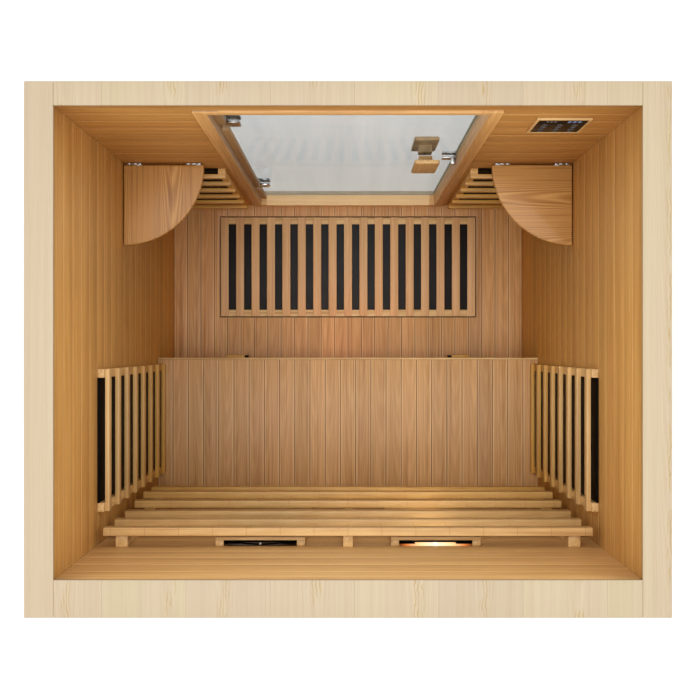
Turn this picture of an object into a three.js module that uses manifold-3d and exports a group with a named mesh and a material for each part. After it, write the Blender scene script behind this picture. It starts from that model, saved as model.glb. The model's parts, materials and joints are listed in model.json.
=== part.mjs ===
// Infrared sauna cabin, seen with its roof off: walls, glass door, bench, heaters and folding shelves.
// Millimetres, +Z up. The origin is the centre of the wall footprint on the ground, and the door faces -Y.
// Left (-X) and right (+X) are as seen by someone who stands outside and faces the door.
import * as THREE from 'three';
import { mergeVertices } from 'three/addons/utils/BufferGeometryUtils.js';
import Module from 'manifold-3d';

const wasm = await Module();
wasm.setup();

// Fits
const SEAT = 0.3; // gap that seated pieces keep
const PIN_PLAY = 0.3; // radial play of a hinge pin in its knuckle

// Cabin shell
const CABIN_WIDTH = 1200;
const CABIN_DEPTH = 994;
const BASE_HEIGHT = 45;
const FLOOR_THICKNESS = 15;
const ROOM_HEIGHT = 1780; // floor to the top of the walls
const SIDE_WALL = 54;
const FRONT_WALL = 45;
const BACK_WALL = 70;
const CLADDING = 10; // boards on either side of a wall frame
const TOP_LIP = 7; // cap of the wall frame that covers both claddings
const STUD_WIDTH = 36;
const STUD_PITCH = 165; // widest spacing of the studs
const TOP_RAIL = 60;
const BASE_RAIL = 80;
const BEARER_WIDTH = 40;
const BEARER_PITCH = 180; // widest spacing of the floor bearers

// Boards
const LINING_BOARD = 89;
const OUTER_BOARD = 91;
const FLOOR_BOARD = 42;
const BENCH_BOARD = 43.6;
const GROOVE_WIDTH = 2.4;
const GROOVE_DEPTH = 1.2;

// Doorway
const DOORWAY_WIDTH = 540;
const FRAME_MEMBER = 26; // face width of the door frame
const FRAME_PROUD = 4.5; // door frame stands in front of the lining
const SILL_HEIGHT = 26; // above the floor
const HEAD_DROP = 83; // top of the walls to the underside of the head
const GLASS_OVERLAP = 12; // glass over the sill and the head
const GLASS_THICKNESS = 8;
const GLASS_INSET = 8.2; // glass behind the outer face of the wall
const GLASS_GAP_HINGE = 14;
const GLASS_GAP_CATCH = 3;
const GLASS_GAP_END = 4;
const STOP_THICKNESS = 12; // bead on the hinge jamb that the glass closes against
const STOP_LAP = 2; // glass over the bead
const STOP_NOTCH = 6; // bead to a hinge clamp

// Door furniture
const UPPER_HINGE_DROP = 278; // underside of the head to the middle of the hinge
const LOWER_HINGE_HEIGHT = 312;
const CLAMP_LENGTH = 32;
const CLAMP_HEIGHT = 60;
const CLAMP_ROUND = 10;
const CLAMP_INNER = 6;
const CLAMP_OUTER = 5;
const CLAMP_WEB = 2.5;
const HINGE_PIN_INSET = 5; // pin axis from the jamb
const HINGE_PIN_DEPTH = 3.2; // pin axis behind the outer face of the wall
const HINGE_KNUCKLE_R = 4.5;
const HINGE_PIN_R = 2;
const HINGE_KNUCKLE_HALF = 10;
const HINGE_BARREL_HALF = 26;
const HINGE_PLATE = 2.5;
const HINGE_PLATE_DEPTH = 16;
const HANDLE_WIDTH = 61;
const HANDLE_HEIGHT = 189;
const HANDLE_PLATE = 10;
const HANDLE_NECK_WIDTH = 34;
const HANDLE_NECK_HEIGHT = 54;
const HANDLE_STANDOFF = 19;
const HANDLE_X = -193;
const HANDLE_CENTRE = 878;
const HANDLE_ROUND = 6;
const CATCH_CENTRE = 876;
const CATCH_WIDTH = 34;
const CATCH_HEIGHT = 40;
const CATCH_PLATE = 4;
const CATCH_WEB = 2;
const KEEPER_WIDTH = 12;
const KEEPER_DEPTH = 13;
const KEEPER_HEIGHT = 22;

// Bench and backrest
const BENCH_HEIGHT = 372;
const BENCH_DEPTH = 402;
const BENCH_THICKNESS = 20;
const NOSING = 5;
const NOSING_DROP = 4;
const BENCH_FRONT_SETBACK = 19;
const BENCH_FRONT_THICKNESS = 12;
const CLEAT = 30;
const BACKREST_SIDE_GAP = 19; // slat ends to the side linings
const BACKREST_SLATS = 6;
const BACKREST_PITCH = 146;
const BACKREST_TOP = 1364;
const SLAT_THICKNESS = 17;
const SLAT_HEIGHT = 38;
const POST_WIDTH = 26;
const MID_POST_WIDTH = 21;
const POST_INSET = 25; // slat end to the outside of an end post
const POST_TOP_DROP = 10;
const POST_DEPTH = 25;
const LUMBAR_BULGE = 17;
const LUMBAR_HEIGHT = 720;
const LUMBAR_SPAN = 420;
const LUMBAR_STEPS = 20;

// Heaters
const ELEMENT_THICKNESS = 4;
const STILE_WIDTH = 19;
const STILE_DEPTH = 12;
const GUARD_THICKNESS = 12;
const GUARD_HEIGHT = 28;
const SIDE_HEATER_LENGTH = 311;
const SIDE_HEATER_SETBACK = 73; // from the back lining
const SIDE_HEATER_TOP = 1330;
const SIDE_HEATER_SLATS = 8;
const SIDE_HEATER_PITCH = 130;
const SIDE_HEATER_SLAT_DROP = 14;
const FRONT_HEATER_OFFSET = 10; // from the door frame
const FRONT_HEATER_SIDE_GAP = 21; // to the side lining
const FRONT_HEATER_TOP = 885;
const FRONT_HEATER_BOTTOM = 90;
const FRONT_HEATER_SLATS = 6;
const FRONT_HEATER_PITCH = 150;
const FLOOR_HEATER_SETBACK = 39; // from the front lining
const FLOOR_HEATER_DEPTH = 311;
const FLOOR_HEATER_SLATS = 17;
const FLOOR_HEATER_PITCH = 48.4;
const FLOOR_HEATER_SLAT = 25;
const FLOOR_HEATER_BATTEN = 21;
const FLOOR_HEATER_SLAT_THICKNESS = 6;
const FLOOR_HEATER_MARGIN = 3;
const CALF_HALF = 303;
const CALF_BLOCK = 52;
const CALF_TOP = 300;
const CALF_BOTTOM = 60;
const CALF_PROUD = 7; // end blocks in front of the bench edge
const CALF_SLATS = 4;
const CALF_SLAT_PITCH = 62;
const CALF_SLAT_THICKNESS = 11;
const CALF_BRACKET = 12;
const EMITTER_WIDTH = 195;
const EMITTER_OFFSET = 93; // inner edge from the middle of the back wall
const EMITTER_TOP = 1338;
const EMITTER_HEIGHT = 700;
const EMITTER_SLATS = 6;
const EMITTER_PITCH = 134;
const EMITTER_STILE = 18;
const EMITTER_GUARD = 8;
const REFLECTOR_RIM = 9;
const REFLECTOR_FLOOR = 1.5;
const REFLECTOR_STEPS = 12;
const REFLECTOR_FLANGE = 6;
const REFLECTOR_BAR = 3;
const REFLECTOR_BAR_HEIGHT = 12;
const TUBE_R = 2.8;

// Shelves
const SHELF_RADIUS = 194;
const SHELF_TOP = 988;
const SHELF_THICKNESS = 18;
const SHELF_GAP_FRONT = 5.8;
const SHELF_GAP_SIDE = 2.5;
const SHELF_STEPS = 24;
const SHELF_HINGE_WIDTH = 36;
const SHELF_HINGE_NEAR = 6; // near hinge from the side edge of the shelf
const SHELF_HINGE_FAR = 150; // far hinge from the same edge
const SHELF_KNUCKLE_R = 2.5;
const SHELF_PIN_R = 1.2;
const SHELF_KNUCKLE_END = 10;

// Control panel
const PANEL_SIDE_GAP = 69; // to the left lining
const PANEL_WIDTH = 108;
const PANEL_DROP = 134; // from the top of the walls
const PANEL_HEIGHT = 165;
const PANEL_SIDE = 5;
const PANEL_END = 7;
const PANEL_DEPTH = 5;
const PANEL_RECESS = 0.8;

// Planes that the pieces share
const FLOOR_TOP = BASE_HEIGHT + FLOOR_THICKNESS;
const WALL_TOP = FLOOR_TOP + ROOM_HEIGHT;
const LIP_BOTTOM = WALL_TOP - TOP_LIP;
const halfX = CABIN_WIDTH / 2;
const halfY = CABIN_DEPTH / 2;
const roomX = halfX - SIDE_WALL;
const roomFront = -halfY + FRONT_WALL;
const roomBack = halfY - BACK_WALL;
const wallFoot = BASE_HEIGHT + SEAT;
const doorwayHalf = DOORWAY_WIDTH / 2;
const headUnder = WALL_TOP - HEAD_DROP;
const above = (height) => FLOOR_TOP + height;

const FINISH = {
  paleWood: { color: 0xdccbb0, roughness: 0.62, metalness: 0 },
  warmWood: { color: 0xbd8852, roughness: 0.58, metalness: 0 },
  floorWood: { color: 0xaf7a52, roughness: 0.6, metalness: 0 },
  slatWood: { color: 0xc39766, roughness: 0.55, metalness: 0 },
  chrome: { color: 0xd2d4d6, roughness: 0.14, metalness: 1 },
  clearGlass: { color: 0xc8cccb, roughness: 0.05, metalness: 0, transparent: true, opacity: 0.35 },
  heaterBlack: { color: 0x15110f, roughness: 0.5, metalness: 0 },
  reflectorMetal: { color: 0x26211e, roughness: 0.35, metalness: 0.8 },
  quartz: { color: 0xffb070, roughness: 0.2, metalness: 0 },
  panelBlack: { color: 0x101214, roughness: 0.15, metalness: 0 },
};

const cabin = new THREE.Group();

function addPiece(name, finish, geometry) {
  const mesh = new THREE.Mesh(geometry, new THREE.MeshStandardMaterial(FINISH[finish]));
  mesh.name = name;
  cabin.add(mesh);
}

// Joins and cuts of closed meshes
function toSolid(geometry) {
  const bare = geometry.clone();
  bare.deleteAttribute('normal');
  bare.deleteAttribute('uv');
  const merged = mergeVertices(bare, 1e-4);
  const vertProperties = new Float32Array(merged.attributes.position.array);
  const triVerts = new Uint32Array(merged.index.array);
  return new wasm.Manifold(new wasm.Mesh({ numProp: 3, vertProperties, triVerts }));
}

function toGeometry(solid) {
  const mesh = solid.getMesh();
  const geometry = new THREE.BufferGeometry();
  geometry.setAttribute('position', new THREE.BufferAttribute(new Float32Array(mesh.vertProperties), 3));
  geometry.setIndex(new THREE.BufferAttribute(new Uint32Array(mesh.triVerts), 1));
  geometry.computeVertexNormals();
  return geometry;
}

function join(...geometries) {
  return toGeometry(geometries.map(toSolid).reduce((whole, next) => whole.add(next)));
}

function cut(body, ...tools) {
  return toGeometry(tools.map(toSolid).reduce((whole, next) => whole.subtract(next), toSolid(body)));
}

// A box between two values on each axis, given in either order
function block(xs, ys, zs) {
  const spans = [xs, ys, zs].map(([a, b]) => [Math.min(a, b), Math.max(a, b)]);
  const sizes = spans.map(([low, high]) => high - low);
  const centres = spans.map(([low, high]) => (low + high) / 2);
  return new THREE.BoxGeometry(...sizes).translate(...centres);
}

// A closed outline pushed along one axis. Its points are (y, z) for x, (x, z) for y and (x, y) for z.
const PRISM_BASIS = {
  x: [[0, 1, 0], [0, 0, 1], [1, 0, 0]],
  y: [[1, 0, 0], [0, 0, 1], [0, -1, 0]],
  z: [[1, 0, 0], [0, 1, 0], [0, 0, 1]],
};

function prism(axis, points, [a, b]) {
  const outline = new THREE.Shape(points.map(([u, v]) => new THREE.Vector2(u, v)));
  const low = Math.min(a, b);
  const high = Math.max(a, b);
  const geometry = new THREE.ExtrudeGeometry(outline, { depth: high - low, bevelEnabled: false });
  const basis = PRISM_BASIS[axis].map((direction) => new THREE.Vector3(...direction));
  geometry.applyMatrix4(new THREE.Matrix4().makeBasis(...basis));
  const start = { x: [low, 0, 0], y: [0, high, 0], z: [0, 0, low] }[axis];
  return geometry.translate(...start);
}

function arc([cu, cv], radius, from, to, steps) {
  const turn = (i) => from + ((to - from) * i) / steps;
  const point = (angle) => [cu + radius * Math.cos(angle), cv + radius * Math.sin(angle)];
  return Array.from({ length: steps + 1 }, (_, i) => point(turn(i)));
}

function rod(axis, centre, radius, span, sides = 16) {
  return prism(axis, arc(centre, radius, 0, 2 * Math.PI, sides).slice(0, sides), span);
}

function roundedPlate(axis, [u0, u1], [v0, v1], radius, span, steps = 4) {
  const quarter = Math.PI / 2;
  const corners = [[u1, v1, 0], [u0, v1, 1], [u0, v0, 2], [u1, v0, 3]];
  const points = corners.flatMap(([u, v, turn]) => {
    const cu = u === u1 ? u1 - radius : u0 + radius;
    const cv = v === v1 ? v1 - radius : v0 + radius;
    return arc([cu, cv], radius, turn * quarter, (turn + 1) * quarter, steps);
  });
  return prism(axis, points, span);
}

// Tongued boards side by side: a flat back at depth 0 and V grooves in the face at the full thickness
function boardOutline([start, end], board, thickness) {
  const count = Math.max(1, Math.round((end - start) / board));
  const joints = Array.from({ length: count - 1 }, (_, i) => start + ((end - start) * (i + 1)) / count);
  const groove = (at) => [
    [at - GROOVE_WIDTH / 2, thickness],
    [at, thickness - GROOVE_DEPTH],
    [at + GROOVE_WIDTH / 2, thickness],
  ];
  return [[start, 0], [start, thickness], ...joints.flatMap(groove), [end, thickness], [end, 0]];
}

// Bays between the members of a ladder frame: as many as keep the members within their pitch
function bays([start, end], edge, member, pitch) {
  const clear = end - start - 2 * edge;
  const count = Math.max(1, Math.ceil((clear + member) / pitch));
  const bay = (clear - (count - 1) * member) / count;
  return Array.from({ length: count }, (_, i) => {
    const low = start + edge + i * (bay + member);
    return [low, low + bay];
  });
}

// Base frame and floor
const baseBaysX = bays([-halfX, halfX], BASE_RAIL, BEARER_WIDTH, BEARER_PITCH);
const baseBaysY = [[-halfY + BASE_RAIL, -BEARER_WIDTH / 2], [BEARER_WIDTH / 2, halfY - BASE_RAIL]];
const throughBase = [-1, BASE_HEIGHT + 1];
const baseCuts = baseBaysX.flatMap((xs) => baseBaysY.map((ys) => block(xs, ys, throughBase)));
const baseBody = block([-halfX, halfX], [-halfY, halfY], [0, BASE_HEIGHT]);
addPiece('base_frame', 'paleWood', cut(baseBody, ...baseCuts));

const floorX = [-roomX + SEAT, roomX - SEAT];
const floorY = [roomFront + SEAT, roomBack - SEAT];
const floorFoot = BASE_HEIGHT + SEAT;
const floorHeaterWidth = (FLOOR_HEATER_SLATS - 1) * FLOOR_HEATER_PITCH + FLOOR_HEATER_SLAT;
const floorHeaterX = [-floorHeaterWidth / 2, floorHeaterWidth / 2];
const floorHeaterY = [
  roomFront + FLOOR_HEATER_SETBACK,
  roomFront + FLOOR_HEATER_SETBACK + FLOOR_HEATER_DEPTH,
];
const widen = ([low, high], by) => [low - by, high + by];
const floorOutline = boardOutline(floorX, FLOOR_BOARD, FLOOR_TOP - floorFoot);
const floorSheet = prism('y', floorOutline.map(([u, t]) => [u, floorFoot + t]), floorY);
const floorHole = block(
  widen(floorHeaterX, FLOOR_HEATER_MARGIN),
  widen(floorHeaterY, FLOOR_HEATER_MARGIN),
  [floorFoot - 1, FLOOR_TOP + 1],
);
addPiece('floor_boards', 'floorWood', cut(floorSheet, floorHole));

const floorElementTop = floorFoot + ELEMENT_THICKNESS;
addPiece('floor_heater_element', 'heaterBlack', block(
  widen(floorHeaterX, FLOOR_HEATER_MARGIN - SEAT),
  widen(floorHeaterY, FLOOR_HEATER_MARGIN - SEAT),
  [floorFoot, floorElementTop],
));

function floorGrille() {
  const slatFoot = FLOOR_TOP - FLOOR_HEATER_SLAT_THICKNESS;
  const [y0, y1] = floorHeaterY;
  const battens = [[y0, y0 + FLOOR_HEATER_BATTEN], [y1 - FLOOR_HEATER_BATTEN, y1]];
  const pieces = battens.map((ys) => block(floorHeaterX, ys, [floorElementTop + SEAT, slatFoot + 1]));
  for (let i = 0; i < FLOOR_HEATER_SLATS; i += 1) {
    const x = floorHeaterX[0] + i * FLOOR_HEATER_PITCH;
    pieces.push(block([x, x + FLOOR_HEATER_SLAT], floorHeaterY, [slatFoot, FLOOR_TOP]));
  }
  return join(...pieces);
}
addPiece('floor_heater_grille', 'slatWood', floorGrille());

// Side walls: full depth, each a frame with a cap over its outer boards and its lining
const studZ = [wallFoot + STUD_WIDTH, WALL_TOP - TOP_RAIL];
const boardZ = [wallFoot, LIP_BOTTOM - SEAT];

function addSideWall(name, side) {
  const out = (x) => side * x;
  const core = [out(roomX + CLADDING + SEAT), out(halfX - CLADDING - SEAT)];
  const spanY = [-halfY, halfY];
  const frame = join(
    block(core, spanY, [wallFoot, WALL_TOP]),
    block([out(roomX), out(halfX)], spanY, [LIP_BOTTOM, WALL_TOP]),
  );
  const reach = [out(roomX - 1), out(halfX + 1)];
  const studBays = bays(spanY, STUD_WIDTH, STUD_WIDTH, STUD_PITCH);
  addPiece(`${name}_wall_frame`, 'paleWood', cut(frame, ...studBays.map((ys) => block(reach, ys, studZ))));
  const outer = boardOutline(spanY, OUTER_BOARD, CLADDING);
  const outerPoints = outer.map(([u, t]) => [out(halfX - CLADDING + t), u]);
  addPiece(`${name}_wall_outer_boards`, 'paleWood', prism('z', outerPoints, boardZ));
  const lining = boardOutline(boardZ, LINING_BOARD, CLADDING);
  const liningPoints = lining.map(([u, t]) => [out(roomX + CLADDING - t), u]);
  addPiece(`${name}_wall_lining`, 'warmWood', prism('y', liningPoints, spanY));
}
addSideWall('left', -1);
addSideWall('right', 1);

// Back and front walls: they stand between the side walls. The front one leaves room for the door frame.
const innerX = [-roomX + SEAT, roomX - SEAT];
const doorFrameX = doorwayHalf + FRAME_MEMBER;
const doorFrameTop = headUnder + FRAME_MEMBER;
const doorHole = block(
  [-doorFrameX - SEAT, doorFrameX + SEAT],
  [-halfY - 1, roomFront + 1],
  [0, doorFrameTop + SEAT],
);

function addCrossWall(name, inner, outer, xBays, trim) {
  const outward = Math.sign(outer - inner);
  const core = [inner + outward * (CLADDING + SEAT), outer - outward * (CLADDING + SEAT)];
  const body = join(
    block(innerX, core, [wallFoot, WALL_TOP]),
    block(innerX, [inner, outer], [LIP_BOTTOM, WALL_TOP]),
  );
  const through = [inner - outward, outer + outward];
  const frame = cut(body, ...xBays.map((xs) => block(xs, through, studZ)));
  addPiece(`${name}_wall_frame`, 'paleWood', trim(frame));
  const boards = boardOutline(innerX, OUTER_BOARD, CLADDING);
  const boardPoints = boards.map(([u, t]) => [u, outer - outward * (CLADDING - t)]);
  addPiece(`${name}_wall_outer_boards`, 'paleWood', trim(prism('z', boardPoints, boardZ)));
  const lining = boardOutline(boardZ, LINING_BOARD, CLADDING);
  const liningPoints = lining.map(([u, t]) => [inner + outward * (CLADDING - t), u]);
  addPiece(`${name}_wall_lining`, 'warmWood', trim(prism('x', liningPoints, innerX)));
}
const frontPanel = [doorFrameX + SEAT, roomX - SEAT];
const frontBays = bays(frontPanel, STUD_WIDTH, STUD_WIDTH, STUD_PITCH + STUD_WIDTH);
const mirrored = ([low, high]) => [-high, -low];
addCrossWall('back', roomBack, halfY, bays(innerX, STUD_WIDTH, STUD_WIDTH, STUD_PITCH), (body) => body);
addCrossWall('front', roomFront, -halfY, [...frontBays, ...frontBays.map(mirrored)], (body) => cut(body, doorHole));

// Door frame. The glass hangs in front of the sill and in a rebate of the head. It closes against a bead on
// the hinge jamb, which leaves room for the hinges.
const glassOut = -halfY + GLASS_INSET;
const glassIn = glassOut + GLASS_THICKNESS;
const sillTop = above(SILL_HEIGHT);
const glassZ = [sillTop - GLASS_OVERLAP, headUnder + GLASS_OVERLAP];
const frameDepth = [-halfY, roomFront + FRAME_PROUD];
const rebateBack = glassIn + 2 * SEAT;
const doorFrameBody = join(
  block([-doorFrameX, doorFrameX], [-halfY, roomFront], [wallFoot, doorFrameTop]),
  block([-doorFrameX, doorFrameX], frameDepth, [FLOOR_TOP + SEAT, doorFrameTop]),
);
const doorway = cut(
  doorFrameBody,
  block([-doorwayHalf, doorwayHalf], widen(frameDepth, 1), [sillTop, headUnder]),
  block([-doorwayHalf, doorwayHalf], [-halfY - 1, rebateBack], [wallFoot - 1, glassZ[1] + GLASS_GAP_END]),
);
const glassX = [-doorwayHalf + GLASS_GAP_CATCH, doorwayHalf - GLASS_GAP_HINGE];
const upperHinge = headUnder - UPPER_HINGE_DROP;
const lowerHinge = above(LOWER_HINGE_HEIGHT);
const hingeRoom = CLAMP_HEIGHT / 2 + STOP_NOTCH;
const beads = [
  [sillTop - 1, lowerHinge - hingeRoom],
  [lowerHinge + hingeRoom, upperHinge - hingeRoom],
  [upperHinge + hingeRoom, headUnder + 1],
].map((zs) => block([glassX[1] - STOP_LAP, doorwayHalf + 1], [rebateBack, rebateBack + STOP_THICKNESS], zs));
addPiece('door_frame', 'warmWood', join(doorway, ...beads));

// Door: glass, hinges, handles and catch
addPiece('door_glass', 'clearGlass', block(glassX, [glassOut, glassIn], glassZ));

const pin = [doorwayHalf - HINGE_PIN_INSET, -halfY + HINGE_PIN_DEPTH];
const clampBack = glassIn + SEAT;
const clampFront = glassOut - SEAT;

function addDoorHinge(name, mid) {
  const around = (half) => [mid - half, mid + half];
  const web = [glassX[1] + SEAT, glassX[1] + SEAT + CLAMP_WEB];
  const tip = web[1] - CLAMP_LENGTH;
  const jaw = (ys) => roundedPlate('y', [tip, web[1]], around(CLAMP_HEIGHT / 2), CLAMP_ROUND, ys);
  const inner = [clampBack, clampBack + CLAMP_INNER];
  const outer = [clampFront - CLAMP_OUTER, clampFront];
  const barrels = [
    [mid - HINGE_BARREL_HALF, mid - HINGE_KNUCKLE_HALF - SEAT],
    [mid + HINGE_KNUCKLE_HALF + SEAT, mid + HINGE_BARREL_HALF],
  ];
  const arm = [pin[1] - HINGE_KNUCKLE_R / 2, pin[1] + HINGE_KNUCKLE_R / 2];
  const clamp = join(
    jaw(inner),
    jaw(outer),
    block(web, [outer[0], inner[1]], around(CLAMP_HEIGHT / 2 - CLAMP_ROUND)),
    ...barrels.map((zs) => block([web[0], pin[0]], arm, zs)),
    ...barrels.map((zs) => rod('z', pin, HINGE_KNUCKLE_R, zs)),
  );
  const bore = rod('z', pin, HINGE_PIN_R + PIN_PLAY, around(HINGE_BARREL_HALF + 1), 12);
  addPiece(`${name}_hinge_clamp`, 'chrome', cut(clamp, bore));
  const plateX = [doorwayHalf - SEAT - HINGE_PLATE, doorwayHalf - SEAT];
  const plateStart = pin[1] + HINGE_KNUCKLE_R + 2 * SEAT;
  addPiece(`${name}_hinge_plate`, 'chrome', join(
    block(plateX, [plateStart, plateStart + HINGE_PLATE_DEPTH], around(CLAMP_HEIGHT / 2)),
    block([pin[0], plateX[1]], [pin[1], plateStart + HINGE_PLATE], around(HINGE_KNUCKLE_HALF)),
    rod('z', pin, HINGE_KNUCKLE_R, around(HINGE_KNUCKLE_HALF)),
    rod('z', pin, HINGE_PIN_R, around(HINGE_BARREL_HALF), 12),
  ));
}
addDoorHinge('upper', upperHinge);
addDoorHinge('lower', lowerHinge);

function addHandle(name, seat, outward) {
  const mid = above(HANDLE_CENTRE);
  const centred = (centre, size) => [centre - size / 2, centre + size / 2];
  const grip = seat + outward * HANDLE_STANDOFF;
  addPiece(name, 'slatWood', join(
    block(
      centred(HANDLE_X, HANDLE_NECK_WIDTH),
      [seat, grip + outward],
      centred(mid, HANDLE_NECK_HEIGHT),
    ),
    roundedPlate(
      'y',
      centred(HANDLE_X, HANDLE_WIDTH),
      centred(mid, HANDLE_HEIGHT),
      HANDLE_ROUND,
      [grip, grip + outward * HANDLE_PLATE],
    ),
  ));
}
addHandle('inner_handle', glassIn + SEAT, 1);
addHandle('outer_handle', glassOut - SEAT, -1);

function addCatch() {
  const mid = above(CATCH_CENTRE);
  const zs = [mid - CATCH_HEIGHT / 2, mid + CATCH_HEIGHT / 2];
  const edge = glassX[0] - SEAT;
  const xs = [edge - CATCH_WEB, edge - CATCH_WEB + CATCH_WIDTH];
  const inner = [glassIn + SEAT, glassIn + SEAT + CATCH_PLATE];
  const outer = [glassOut - SEAT - CATCH_PLATE, glassOut - SEAT];
  addPiece('catch_clip', 'chrome', join(
    block(xs, inner, zs),
    block(xs, outer, zs),
    block([xs[0], edge], [outer[0], inner[1]], zs),
  ));
  const jamb = -doorwayHalf + SEAT;
  const keeperY = [inner[1] + SEAT, inner[1] + SEAT + KEEPER_DEPTH];
  addPiece('catch_keeper', 'chrome', block(
    [jamb, jamb + KEEPER_WIDTH],
    keeperY,
    [mid - KEEPER_HEIGHT / 2, mid + KEEPER_HEIGHT / 2],
  ));
}
addCatch();

// Bench
const benchTop = above(BENCH_HEIGHT);
const benchUnder = benchTop - BENCH_THICKNESS;
const benchEdge = roomBack - BENCH_DEPTH;
const seatOutline = boardOutline(innerX, BENCH_BOARD, BENCH_THICKNESS);
addPiece('bench_seat', 'slatWood', prism(
  'y',
  seatOutline.map(([u, t]) => [u, benchUnder + t]),
  [benchEdge + NOSING + SEAT, roomBack - SEAT],
));
addPiece('bench_nosing', 'slatWood', block(
  innerX,
  [benchEdge, benchEdge + NOSING],
  [benchUnder - NOSING_DROP, benchTop],
));
const panelFace = benchEdge + BENCH_FRONT_SETBACK;
const panelBack = panelFace + BENCH_FRONT_THICKNESS;
const panelZ = [FLOOR_TOP + SEAT, benchUnder - SEAT];
const calfZ = [above(CALF_BOTTOM), above(CALF_TOP)];
addPiece('bench_front', 'warmWood', cut(
  block(innerX, [panelFace, panelBack], panelZ),
  block([-CALF_HALF, CALF_HALF], [panelFace - 1, panelBack + 1], calfZ),
));
for (const [name, side] of [['left', -1], ['right', 1]]) {
  addPiece(`${name}_bench_cleat`, 'warmWood', block(
    [side * (roomX - SEAT - CLEAT), side * (roomX - SEAT)],
    [panelBack + SEAT, roomBack - SEAT],
    [benchUnder - SEAT - CLEAT, benchUnder - SEAT],
  ));
}

// Calf heater in the bench front: an element in the opening, end blocks and slats in front of it
const calfFace = benchEdge - CALF_PROUD;
const calfSlatY = [panelFace - SEAT - CALF_SLAT_THICKNESS, panelFace - SEAT];
const calfInner = CALF_HALF - SEAT;
addPiece('calf_heater_element', 'heaterBlack', join(
  block([-calfInner, calfInner], [panelBack - ELEMENT_THICKNESS, panelBack], [calfZ[0] + SEAT, calfZ[1] - SEAT]),
  ...[-1, 1].map((side) => block(
    [side * (calfInner - CALF_BRACKET), side * calfInner],
    [calfFace + SEAT, panelBack],
    [calfZ[1] - SEAT - CALF_BRACKET, calfZ[1] - SEAT],
  )),
));

function calfGrille() {
  const pieces = [-1, 1].map((side) => block(
    [side * CALF_HALF, side * (CALF_HALF + CALF_BLOCK)],
    [calfFace, panelFace - SEAT],
    calfZ,
  ));
  const topSlat = calfZ[1] - CALF_BRACKET - 3 * SEAT;
  for (let i = 0; i < CALF_SLATS; i += 1) {
    const top = topSlat - i * CALF_SLAT_PITCH;
    pieces.push(block([-CALF_HALF - 1, CALF_HALF + 1], calfSlatY, [top - GUARD_HEIGHT, top]));
  }
  return join(...pieces);
}
addPiece('calf_heater_grille', 'slatWood', calfGrille());

// Backrest: three posts with a lumbar curve that carry the slats
function postDepth(height) {
  const away = Math.min(1, Math.abs(height - LUMBAR_HEIGHT) / LUMBAR_SPAN);
  return POST_DEPTH + (LUMBAR_BULGE / 2) * (1 + Math.cos(Math.PI * away));
}

function backrest() {
  const wall = roomBack - SEAT;
  const foot = BENCH_HEIGHT + SEAT;
  const top = BACKREST_TOP - POST_TOP_DROP;
  const front = Array.from({ length: LUMBAR_STEPS + 1 }, (_, i) => {
    const height = foot + ((top - foot) * i) / LUMBAR_STEPS;
    return [wall - postDepth(height), above(height)];
  });
  const outline = [[wall, above(foot)], ...front, [wall, above(top)]];
  const half = roomX - BACKREST_SIDE_GAP;
  const endPost = half - POST_INSET;
  const posts = [
    [-endPost, -endPost + POST_WIDTH],
    [-MID_POST_WIDTH / 2, MID_POST_WIDTH / 2],
    [endPost - POST_WIDTH, endPost],
  ];
  const pieces = posts.map((xs) => prism('x', outline, xs));
  for (let i = 0; i < BACKREST_SLATS; i += 1) {
    const slatTop = BACKREST_TOP - i * BACKREST_PITCH;
    const bearing = wall - postDepth(slatTop - SLAT_HEIGHT / 2);
    pieces.push(block(
      [-half, half],
      [bearing - SLAT_THICKNESS, bearing + 1],
      [above(slatTop - SLAT_HEIGHT), above(slatTop)],
    ));
  }
  return join(...pieces);
}
addPiece('backrest', 'slatWood', backrest());

// Wall heaters: a black element on the lining, two stiles beside it and slats across them.
// place(along, out) turns a span along the wall and a span out of it into the x and y spans of a box.
function addGuardedHeater(name, place, [a, b], [bottom, top], slats) {
  const along = [Math.min(a, b), Math.max(a, b)];
  const stiles = [[along[0], along[0] + slats.stile], [along[1] - slats.stile, along[1]]];
  const stileOut = [SEAT, SEAT + STILE_DEPTH];
  const guardOut = [stileOut[1] - 1, stileOut[1] + slats.thickness];
  const pieces = stiles.map((span) => block(...place(span, stileOut), [bottom, top]));
  for (let i = 0; i < slats.count; i += 1) {
    const slatTop = top - slats.drop - i * slats.pitch;
    pieces.push(block(...place(along, guardOut), [slatTop - GUARD_HEIGHT, slatTop]));
  }
  addPiece(`${name}_grille`, 'slatWood', join(...pieces));
  return [stiles[0][1] + SEAT, stiles[1][0] - SEAT];
}

function addElement(name, place, span, [bottom, top]) {
  const plate = block(...place(span, [SEAT, SEAT + ELEMENT_THICKNESS]), [bottom + SEAT, top - SEAT]);
  addPiece(`${name}_element`, 'heaterBlack', plate);
}

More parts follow.
